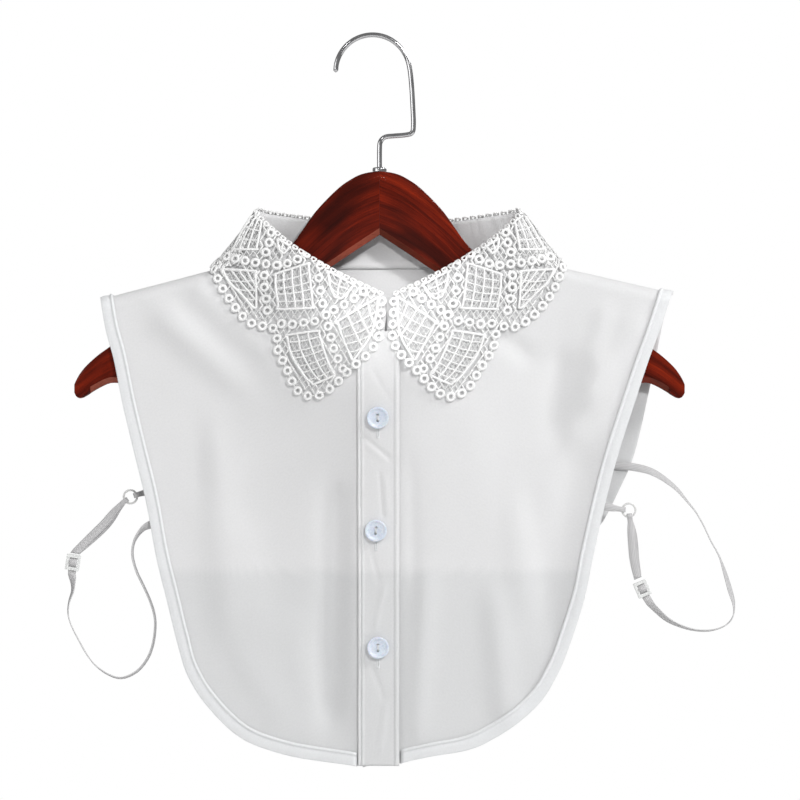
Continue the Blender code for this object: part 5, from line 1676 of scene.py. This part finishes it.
def arc_lengths(grid, axis):
    steps = np.linalg.norm(np.diff(grid, axis=axis), axis=-1)
    zero = np.zeros_like(np.take(steps, [0], axis=axis))
    return np.concatenate([zero, np.cumsum(steps, axis=axis)], axis=axis)


def seam_rows(neck, rise, steps):
    """The seam allowance: rows that turn down inside the panels, from its raw edge to the seam."""
    x, z = neck[:, 0], neck[:, 2]
    faces = [outward(x, np.maximum(below(x, z, way), HALF_SEAM), way) for way in (FRONT, BACK)]
    blend_in = smoothstep(SHOULDER_STEP - 0.1, SHOULDER_STEP + 0.1, steps)[:, None]
    out = unit(faces[0] * (1 - blend_in) + faces[1] * blend_in)
    along_seam = unit(np.gradient(neck, axis=0))
    into = unit(np.cross(out, along_seam))
    into *= np.where(np.sum(into * rise, axis=1) > 0, -1, 1)[:, None]
    return [neck - out * deep + into * far for far, deep in ALLOWANCE]


ALLOWANCE = ((4.0, 1.15), (2.4, 1.15), (0.8, 1.1))  # into the panel, and under its middle
stand_rows = []
for stand_side, stand_run in ((LEFT, STEPS), (RIGHT, STEPS[-2::-1])):
    neck, fold = neck_points(stand_run, stand_side), fold_points(stand_run, stand_side)
    rise = fold - neck
    lift = STAND_LIFT / np.linalg.norm(rise, axis=1, keepdims=True)
    share = np.linspace(0, 1, 13)[None, :, None]
    wall = neck[:, None] + rise[:, None] * (lift[:, None] + (1 - lift[:, None]) * share)
    turned = np.stack(seam_rows(neck, rise, stand_run), axis=1)
    stand_rows.append(np.concatenate([turned, wall], axis=1))
stand_middle = np.concatenate(stand_rows)
print("stand grid:", stand_middle.shape[:2])

# %% Sew the stand
GATHER, GATHER_FROM, GATHER_TO = 0.32, 1.2, 2.9  # height, and the steps between which it is fullest
stand_along, stand_up = arc_lengths(stand_middle, 0), arc_lengths(stand_middle, 1)
stand_steps = np.concatenate([STEPS, STEPS[-2::-1]])
fullness = smoothstep(GATHER_FROM - 0.4, GATHER_FROM, stand_steps)
fullness *= 1 - smoothstep(GATHER_TO - 0.2, GATHER_TO, stand_steps)
fullness = (fullness * np.where(stand_middle[:, 0, 0] > MIDDLE, 1.0, 0.6))[:, None]
top_share = stand_up / stand_up[:, -1:]
gathers = puckers(stand_along[:, :1], GATHER / 2, (6.1, 9.7, 14.3)) * fullness * top_share**1.5
foot = -hump(stand_up, 1.6, 0.9, 0.3)
stand_points = stand_middle + grid_normals(stand_middle) * (gathers + foot)[..., None]
stand_faces = grid_faces(*stand_points.shape[:2])
stand = add_piece(
    "stand_cloth", stand_points.reshape(-1, 3), stand_faces, cloth_white, "cloth",
    ("collar_stand",), np.stack([stand_along, stand_up], axis=-1).reshape(-1, 2))
# All of the stand is painted with the brighter white of backed cloth.
paint_backing_light(stand, np.ones(len(stand_points.reshape(-1, 3))))
walled(stand, CLOTH)

# %% [markdown]
# ## The form of the lace
#
# Each half of the lace turns over the fold, rolls round it, and falls outwards over the fronts and
# the back to a scalloped edge. Its middle surface is a fine grid: from the fold, down a short
# round, and on to the edge, which rests just clear of the cloth. Wherever the straight fall would
# cut into the cloth or the stand it is pushed out, and then smoothed.

# %% Scalloped edge
SCALLOPS = (  # step, d, and z of the cloth under it, or where positive the drop below the shoulder
    (0.00, 0.8, -209.5), (0.12, 8.5, -221.0), (0.25, 20.0, -231.5), (0.38, 33.0, -245.0),
    (0.50, 45.5, -251.0), (0.62, 59.5, -246.0), (0.75, 69.0, -230.0), (0.90, 77.5, -214.0),
    (1.00, 78.9, -203.5), (1.10, 88.5, -203.0), (1.25, 103.0, -194.0), (1.34, 112.5, -182.5),
    (1.40, 118.0, 14.5), (1.45, 121.4, 5.9), (1.467, 122.2, 2.9), (1.484, 122.8, 0.8),
    (1.50, 123.0, 0.001), (1.516, 122.9, 0.8), (1.533, 122.7, 2.9), (1.55, 122.4, 5.9),
    (1.60, 121.0, 13.5), (1.70, 117.0, -179.5), (1.84, 109.0, -184.5), (2.00, 101.0, -184.0),
    (2.12, 94.0, -194.0), (2.30, 79.0, -202.5), (2.50, 58.0, -204.5), (2.75, 24.0, -201.0),
    (3.00, 0.6, -186.0),
)
LACE_APART = 0.4  # from each half's end to the centre line
FALL_ROLL, FALL_RISE = 3.2, 2.0  # how far the lace stands out and up round the fold
FALL_CLEAR, FALL_CLEAR_PLACKET = 2.3, 4.4  # middle of the lace to middle of the cloth
FALL_BELOW = 2.2  # from the fall's highest line down to the row where it hangs free
PLACKET_ABOVE, PLACKET_BESIDE = 10, 6  # how far round the placket the lace clears it
STAND_NEAR = 9.0  # a point of the stand that is nearer than this holds the lace off
SMOOTHINGS = 10
ROUND_COLUMNS, FALL_COLUMNS = 5, 24


def scallop_edge(side):
    """x and z of the edge at each step."""
    rows = []
    for step, d, level in SCALLOPS:
        x = MIDDLE + side * d
        rows.append((step, d, float(shoulder(x)) - level if level > 0 else level))
    z = along(STEPS, rows, 2)
    return centre_x(z) + side * along(STEPS, rows, 1), z


def resting(x, z, facing, clear):
    """Points that lie `clear` outside the panels, over their middle at x and z."""
    found = []
    for way in (FRONT, BACK):
        q = below(x, z, way)
        found.append(drape(x, q, way) + outward(x, q, way) * clear)
    return np.where((facing == FRONT)[..., None], *found)


print("scallop points:", len(SCALLOPS))

# %% Surface of the fall
def push_out(grid, facing):
    """Moves the fall along Y until it clears the panels and the stand."""
    x, y, z = np.moveaxis(grid[:, ROUND_COLUMNS:], -1, 0)
    side = np.broadcast_to(facing[:, None], x.shape)
    under = np.where(side == FRONT, *[
        np.abs(drape(x, below(x, z, way), way)[..., 1]) for way in (FRONT, BACK)])
    over_placket = (side == FRONT) & (z < PLACKET_TOP + PLACKET_ABOVE)
    over_placket &= (x > PLACKET_X[0] - PLACKET_BESIDE) & (x < PLACKET_X[1] + PLACKET_BESIDE)
    clear = np.where(over_placket, FALL_CLEAR_PLACKET, FALL_CLEAR)
    need = np.where(z < shoulder(x), under + clear, 0)
    for way in (FRONT, BACK):
        near = stand_middle.reshape(-1, 3)
        near = near[near[:, 1] * way > 0]
        rows = np.flatnonzero(facing == way)
        for i in rows:
            apart = np.hypot(near[:, 0] - x[i][:, None], near[:, 2] - z[i][:, None])
            reach = np.where(apart < STAND_NEAR, np.abs(near[:, 1]), 0).max(axis=1)
            need[i] = np.maximum(need[i], np.where(reach > 0, reach + FALL_CLEAR, 0))
    still = np.abs(STEPS - SHOULDER_STEP) < 1e-6
    grid[:, ROUND_COLUMNS:, 1] = np.where(
        still[:, None], y, side * np.maximum(np.abs(y), need))


def lace_surface(side):
    facing = np.where(STEPS < SHOULDER_STEP, FRONT, BACK)
    fold = fold_points(STEPS, side)
    for end in (0, -1):
        fold[end, 0] = centre_x(fold[end, 2]) + side * LACE_APART
    ring = np.gradient(fold_points(STEPS, side), axis=0)
    away = unit(np.stack([ring[:, 1], -ring[:, 0], np.zeros(len(STEPS))], axis=1))
    away *= np.where(np.sum(away * (fold - (MIDDLE, 0, 0)), axis=1) > 0, 1, -1)[:, None]
    away[[0, -1], 0] = 0
    grid = np.zeros((len(STEPS), ROUND_COLUMNS + FALL_COLUMNS, 3))
    for j, turn in enumerate(np.linspace(0, math.pi / 2, ROUND_COLUMNS)):
        rise = FALL_RISE - FALL_BELOW * (1 - math.cos(turn))
        grid[:, j] = fold + away * FALL_ROLL * math.sin(turn) + (0, 0, rise)
    edge = resting(*scallop_edge(side), facing, FALL_CLEAR)
    start = grid[:, ROUND_COLUMNS - 1]
    for j in range(FALL_COLUMNS):
        grid[:, ROUND_COLUMNS + j] = start + (edge - start) * (j + 1) / FALL_COLUMNS
    for _ in range(SMOOTHINGS):
        push_out(grid, facing)
        inner = grid[1:-1, ROUND_COLUMNS:-1, 1]
        around = grid[:-2, ROUND_COLUMNS:-1, 1] + grid[2:, ROUND_COLUMNS:-1, 1]
        around += grid[1:-1, ROUND_COLUMNS - 1:-2, 1] + grid[1:-1, ROUND_COLUMNS + 1:, 1]
        grid[1:-1, ROUND_COLUMNS:-1, 1] = 0.5 * inner + 0.125 * around
    push_out(grid, facing)
    return grid


falls = {RIGHT: lace_surface(RIGHT), LEFT: lace_surface(LEFT)}
print("lace grid:", falls[RIGHT].shape[:2])

# %% [markdown]
# ## A flat chart for the lace
#
# Lace is designed flat, on paper. So each half of the collar gets two flat charts, one for the
# front and one for the back, which meet on the shoulder. Across the chart runs the distance from
# the centre line as measured round the collar, and up it runs the height. A ray through the chart
# finds the cell of the fall's surface, and with it the point and the direction in space.

# %% Charts
def chart_of(side, facing):
    grid = falls[side]
    rows = np.flatnonzero(STEPS <= SHOULDER_STEP) if facing == FRONT else \
        np.flatnonzero(STEPS >= SHOULDER_STEP)[::-1]
    part = grid[rows]
    off_centre = np.abs(part[..., 0] - centre_x(part[..., 2]))
    out, deep = np.diff(off_centre, axis=0), np.diff(part[..., 1], axis=0)
    near = 1 - smoothstep(0.15, 0.4, np.abs(STEPS[rows][1:] - SHOULDER_STEP))[:, None]
    around = np.abs(out) * (1 - near) + np.hypot(out, deep) * near
    far = np.concatenate([off_centre[:1], off_centre[:1] + np.cumsum(around, axis=0)])
    flat_points = np.stack([far, part[..., 2]], axis=-1)
    cells = grid_faces(*far.shape)
    triangles = np.array([t for a, b, c, d in cells for t in ((a, b, c), (a, c, d))])
    spots = [(a, b, 0.0) for a, b in flat_points.reshape(-1, 2)]
    return {
        "tree": BVHTree.FromPolygons(spots, triangles.tolist()), "triangles": triangles,
        "flat": flat_points.reshape(-1, 2), "points": part.reshape(-1, 3),
        "normals": grid_normals(grid)[rows].reshape(-1, 3), "grid": flat_points,
    }


DOWN = Vector((0, 0, -1))


def lay(chart, places, reach):
    """Points and normals in space for places on a chart, and which of them lie on the lace."""
    hits, on = np.zeros(len(places), int), np.zeros(len(places), bool)
    spots = np.array(places, float)
    for k, (a, b) in enumerate(places):
        found = chart["tree"].ray_cast(Vector((a, b, 5.0)), DOWN)
        if found[2] is None:
            found = chart["tree"].find_nearest(Vector((a, b, 0.0)), reach)
            if found[2] is None:
                continue
            spots[k] = found[0][:2]
        hits[k], on[k] = found[2], True
    corners = chart["triangles"][hits]
    p, q, r = (chart["flat"][corners[:, k]] for k in range(3))
    area = np.cross(q - p, r - p)
    area = np.where(np.abs(area) < 1e-9, 1e-9, area)
    share_q = np.cross(spots - p, r - p) / area
    share_r = np.cross(q - p, spots - p) / area
    shares = np.stack([1 - share_q - share_r, share_q, share_r], axis=1)[..., None]
    points = (chart["points"][corners] * shares).sum(axis=1)
    return points, unit((chart["normals"][corners] * shares).sum(axis=1)), on


charts = {(side, way): chart_of(side, way) for side in (RIGHT, LEFT) for way in (FRONT, BACK)}
print("charts:", len(charts))

# %% [markdown]
# ## The design
#
# The design is made of three things: leaves, outlined and ribbed with thick cord and crossed by
# bars; rows of little buttonholed rings that divide the leaves and run all round the edge; and a
# fine net that ties everything together. Below are the leaves and the ring rows of one half, each
# in millimetres on its chart. Both halves use the same design, mirrored.

# %% Leaves and ring rows
LEAVES = {  # left side, right side, ribs between them, bars across them
    FRONT: (
        (((67.5, -205.5), (64.5, -216.5), (60, -224.5), (52.5, -234.5), (46.5, -239)),
         ((46, -202.5), (43, -211), (38, -223.5), (33, -233)), 2, 6),
        (((33.5, -196.5), (29.5, -206), (21.5, -222.5)),
         ((6.8, -180), (7.2, -191.5), (10.5, -206.5), (20, -222)), 3, 4),
        (((77, -163.5), (77, -172), (74.5, -187.5)),
         ((54.5, -156.5), (53, -170), (51, -187)), 3, 4),
        (((114, -160), (110, -168), (102.5, -175.5), (92.5, -186)),
         ((91, -161.5), (90.5, -175), (90, -187)), 3, 3),
        (((94, -123), (102, -134), (109, -146)),
         ((87, -127), (88.5, -136), (90.5, -146.5)), 2, 2),
        (((76, -139), (75.5, -143), (74.5, -147)),
         ((67.5, -144.5), (69, -147), (71.5, -149.5)), 1, 1),
        (((41, -162), (39.5, -172), (36.5, -179.5)),
         ((23.5, -171.5), (27.5, -176.5), (32, -181)), 1, 2),
    ),
    BACK: (
        (((36, -163), (34, -176), (26.5, -190)),
         ((7.5, -152), (8, -168), (12, -184), (18, -192)), 3, 4),
        (((72, -166), (70, -180), (61, -196.5)),
         ((47, -163), (46, -178), (40, -194)), 3, 3),
        (((101, -161), (101, -170), (93, -186)),
         ((84, -158), (83.5, -172), (80, -190)), 2, 3),
        (((34, -133), (33, -142), (27, -151)), ((13.5, -134), (15, -141), (20, -148)), 1, 2),
        (((70, -131), (70, -144), (63, -154)), ((45.5, -131), (46, -143), (52, -152)), 2, 2),
        (((98, -131), (103, -140), (108, -148)), ((84, -129), (85, -138), (88, -147)), 2, 2),
    ),
}
RING_ROWS = {
    FRONT: (
        ((72, -197.5), (64, -198), (57, -197), (49, -196)),
        ((41.5, -192), (39.5, -200), (37, -207.5), (34.5, -215.5), (31, -222.5), (27.5, -228.5)),
        ((44.5, -184), (46, -177), (47, -169.5), (47.5, -162), (46.5, -158)),
        ((36.5, -188.5), (30, -185), (23.5, -181), (17, -176)),
        ((113, -151), (107, -152.5), (99.8, -154), (92.2, -155.5), (84.7, -156.5), (77, -157.5),
         (69.5, -156.5), (62, -153.5), (56, -149.5)),
        ((85, -164.5), (85, -172), (83.6, -180.5), (82.2, -188.5)),
        ((84, -148.5), (81.6, -141.3), (80.5, -135)),
    ),
    BACK: (
        ((115, -152), (107.5, -154), (100, -154.5), (92.5, -153), (85, -152), (78, -155),
         (71, -159), (63.5, -160.5), (56, -158.5), (49, -157), (42, -156.5), (35, -157),
         (28, -156.5), (21, -154)),
        ((42, -164), (41.5, -171.5), (40, -179), (36, -186), (31, -192.5)),
        ((78, -163), (77.5, -170.5), (76, -178), (73.5, -185.5), (69.5, -192.5)),
        ((40, -149.5), (39.5, -142), (39.5, -134.5)),
        ((77, -148), (77, -140.5), (77, -133.5)),
        ((10.5, -145.5), (7.5, -138.5)),
    ),
}
RING_PITCH, RING_OUT, RING_HOLE = 7.9, 3.5, 1.2  # spacing, outer and inner radius of a ring
RING_POINTS, RING_SIDES = 12, 5
FOLD_RING_PITCH, FOLD_RING = 5.2, 0.7  # spacing of the small rings on the fold, and their scale
LACE_THICK = 1.3
print("leaves:", len(LEAVES[FRONT]) + len(LEAVES[BACK]))

# %% [markdown]
# ## Cords, rings and net
#
# Every thread is a tube on the fall's surface: thick and a little flat for the leaves, thin for the
# net, and closed into a circle for a ring. The net is laid as rows of zigzags, and it is left out
# where a ring or a leaf takes its place; inside the leaves a finer one fills the ribs.

# %% Thread on the chart
SHORTEST = 0.08  # step between two points of a thread, below which one is left out


def closed_tube(path, ups, wide, thick, sides=RING_SIDES):
    run = unit(np.roll(path, -1, axis=0) - np.roll(path, 1, axis=0))
    side = unit(np.cross(run, ups))
    turns = [2 * math.pi * k / sides for k in range(sides)]
    body = np.stack(
        [path + side * wide / 2 * math.cos(t) + ups * thick / 2 * math.sin(t) for t in turns],
        axis=1)
    faces, count = [], len(path)
    for i in range(count):
        for k in range(sides):
            a, b = i * sides, (i + 1) % count * sides
            n = (k + 1) % sides
            faces.append((a + k, a + n, b + n, b + k))
    return body.reshape(-1, 3), faces


def cord_on(chart, line, wide, thick, lift=0.0, sides=6, pitch=1.3):
    """A cord along a line on the chart, cut where the chart ends."""
    fine = smooth(line, pitch=pitch) if pitch else np.array(line, float)
    points, ups, on = lay(chart, fine, 0.8)
    shapes = []
    for part in np.split(np.arange(len(fine)), np.flatnonzero(~on)):
        part = part[on[part]]
        moves = np.linalg.norm(np.diff(points[part], axis=0), axis=1)
        part = part[np.concatenate([[True], moves > SHORTEST])[:len(part)]]
        if len(part) > 1:
            shapes.append(tube(points[part] + ups[part] * lift, wide / 2, sides, thick / wide,
                               ups[part]))
    return shapes


def ring_on(chart, centre, scale):
    turns = np.linspace(0, 2 * math.pi, RING_POINTS, endpoint=False) + rng.uniform(0, 1)
    squash = 1 + rng.uniform(-0.05, 0.05)
    reach = (RING_OUT + RING_HOLE) / 2 * scale
    circle = np.column_stack([np.cos(turns) * reach * squash, np.sin(turns) * reach / squash])
    points, ups, on = lay(chart, circle + centre, 3.0)
    moves = np.linalg.norm(points - np.roll(points, 1, axis=0), axis=1)
    if not on.all() or moves.min() < SHORTEST:
        return []
    return [closed_tube(points, ups, (RING_OUT - RING_HOLE) * scale, LACE_THICK)]


print("a ring has", RING_POINTS * RING_SIDES, "faces")

# %% Where things lie on the chart
def edge_line(chart):
    """The line of the edge rings' centres: down the centre line, then along the scallops."""
    inset = RING_OUT + 0.1
    flat_grid = chart["grid"]
    centre = flat_grid[0] + (inset, 0)
    edge = flat_grid[:, -1]
    run = unit(np.gradient(edge, axis=0))
    inward = np.stack([-run[:, 1], run[:, 0]], axis=1)
    inward *= np.sign(np.sum(inward * (flat_grid[:, -6] - edge)))
    line = edge + inward * inset
    close = np.linalg.norm(line[:, None] - edge, axis=2).min(axis=1)
    line = line[close > inset - 0.25]
    line = line[line[:, 0] > centre[-1, 0] + 1.0]
    first = flat_grid[0, 0, 1] - 4.0
    centre = centre[(centre[:, 1] < first) & (centre[:, 1] > line[0, 1] + 2.0)]
    return np.vstack([centre[::2], line[::2]])


def inside(outline, spots):
    """Whether each spot lies in a closed outline, by counting the sides that it crosses."""
    x, y = spots[:, 0], spots[:, 1]
    found = np.zeros(len(spots), bool)
    for (x0, y0), (x1, y1) in zip(outline, np.roll(outline, -1, axis=0)):
        if y0 == y1:
            continue
        crosses = ((y0 > y) != (y1 > y)) & (x < (x1 - x0) * (y - y0) / (y1 - y0) + x0)
        found ^= crosses
    return found


LEAF_POINTS = 25


def net_rows(low, high, across, pitch, wave):
    """Zigzags over a box of the chart, each a line of points one thread apart."""
    rows = []
    for k, height in enumerate(np.arange(low, high, pitch)):
        place = np.arange(*across, wave / 2)
        swing = np.where((np.arange(len(place)) + k) % 2, 0.5, -0.5) * pitch
        wander = 0.12 * np.sin(place * 0.9 + height)
        rows.append(np.column_stack([place, height + swing + wander]))
    return rows


print("chart tools ready")

# %% Work the lace
LEAF_CORD, RIB_CORD, BAR_CORD = 1.7, 1.3, 0.95
NET_STRAND, FINE_STRAND = 1.45, 0.85
NET_PITCH, NET_WAVE = 3.4, 4.5
NET_THICK = 0.8
FINE_PITCH, FINE_WAVE = 2.6, 3.2
POINTED = 3.0  # leaves whose sides end nearer than this have ribs beside their left side
RING_CLEAR = 2.7  # the net stops under a ring's cord


def work_leaf(chart, left, right, ribs, bars):
    """One leaf: its outline, the ribs and the bars, and the outline for the net."""
    left, right = smooth(left, LEAF_POINTS), smooth(right, LEAF_POINTS)
    shapes = []
    outline = np.vstack([left, right[::-1]])
    shapes += cord_on(chart, np.vstack([outline, outline[:2]]), LEAF_CORD, LACE_THICK, 0.12,
                      pitch=1.4)
    pointed = np.linalg.norm(left[-1] - right[-1]) < POINTED
    for k in range(ribs):
        share = (k + 1) / (ribs + 1)
        bow = 0.3 * np.sin(math.pi * np.linspace(0, 1, len(left)))[:, None]
        rib = left * (1 - share) + right * share + bow * (1, 0)
        if pointed:
            start = left[0] * (1 - share) + right[0] * share
            end = right[round((1 - 0.8 * share) * (len(right) - 1))]
            rib = start + (end - start) * np.linspace(0, 1, len(left))[:, None] + bow * (1, 0)
        shapes += cord_on(chart, rib[::3], RIB_CORD, 1.15, 0.05)
    for k in range(bars):
        place = round((k + 1) / (bars + 1) * (len(left) - 1))
        sag = np.array((0, -0.8))
        middle = (left[place] + right[place]) / 2 + sag
        shapes += cord_on(chart, [left[place], middle, right[place]], BAR_CORD, 0.8, 0.0)
    return shapes, outline


def net_on(chart, rows, keep, strand, lift):
    """The stretches of zigzag that `keep` allows, as thin cords."""
    shapes = []
    for row in rows:
        allowed = keep(row)
        for part in np.split(np.arange(len(row)), np.flatnonzero(~allowed)):
            part = part[allowed[part]]
            if len(part) > 1:
                shapes += cord_on(chart, row[part], strand, NET_THICK, lift, sides=4,
                                   pitch=None)
    return shapes


def work_chart(chart):
    """All threads of one chart: rings, leaves and net."""
    edge = edge_line(chart)
    centres = [smooth(edge, pitch=RING_PITCH)]
    centres += [smooth(row, pitch=RING_PITCH) for row in RING_ROWS[chart["facing"]]]
    shapes, outlines = [], []
    for run in centres:
        for centre in run:
            shapes += ring_on(chart, centre, rng.uniform(0.96, 1.04))
        for a, b in zip(run, run[1:]):
            way = (b - a) / np.linalg.norm(b - a)
            link = [a + way * RING_OUT * 0.85, b - way * RING_OUT * 0.85]
            shapes += cord_on(chart, link, 0.8, 0.8, 0.0, 4, pitch=None)
    for leaf in LEAVES[chart["facing"]]:
        found, outline = work_leaf(chart, *leaf)
        shapes += found
        outlines.append(outline)
    fold = chart["grid"][:, ROUND_COLUMNS - 3]
    for centre in smooth(fold[::3], pitch=FOLD_RING_PITCH):
        shapes += ring_on(chart, centre, FOLD_RING)
    spots = np.vstack(centres)
    border = smooth(edge, pitch=1.5)
    low, high = chart["flat"].min(axis=0), chart["flat"].max(axis=0)

    def open_ground(row):
        clear = np.min(np.linalg.norm(row[:, None] - spots, axis=2), axis=1) > RING_CLEAR
        nearest = np.argmin(np.linalg.norm(row[:, None] - border, axis=2), axis=1)
        run = unit(np.gradient(border, axis=0))[nearest]
        off = row - border[nearest]
        clear &= (run[:, 0] * off[:, 1] - run[:, 1] * off[:, 0]) * chart["inner"] > 0.3
        for outline in outlines:
            clear &= ~inside(outline, row)
        return clear

    rows = net_rows(low[1], high[1], (low[0], high[0]), NET_PITCH, NET_WAVE)
    shapes += net_on(chart, rows, open_ground, NET_STRAND, -0.1)
    for outline in outlines:
        low, high = outline.min(axis=0), outline.max(axis=0)
        rows = net_rows(low[1], high[1], (low[0], high[0]), FINE_PITCH, FINE_WAVE)
        shapes += net_on(chart, rows, lambda row: inside(outline, row), FINE_STRAND, -0.2)
    return shapes


for key, chart in charts.items():
    chart["facing"] = key[1]
    # Which side of the edge's line is lace: +1 to the left of its run, and -1 to the right.
    edge = edge_line(chart)
    halfway = len(edge) // 2
    run = edge[halfway + 1] - edge[halfway]
    off = chart["grid"][len(chart["grid"]) // 2, 8] - edge[halfway]
    chart["inner"] = float(np.sign(run[0] * off[1] - run[1] * off[0]))

for side, name in ((RIGHT, "lace_right"), (LEFT, "lace_left")):
    shapes = work_chart(charts[side, FRONT]) + work_chart(charts[side, BACK])
    points, faces = gathered(shapes)
    fall = add_piece(name + "_fall", points, faces, lace_white, "lace", (name,))
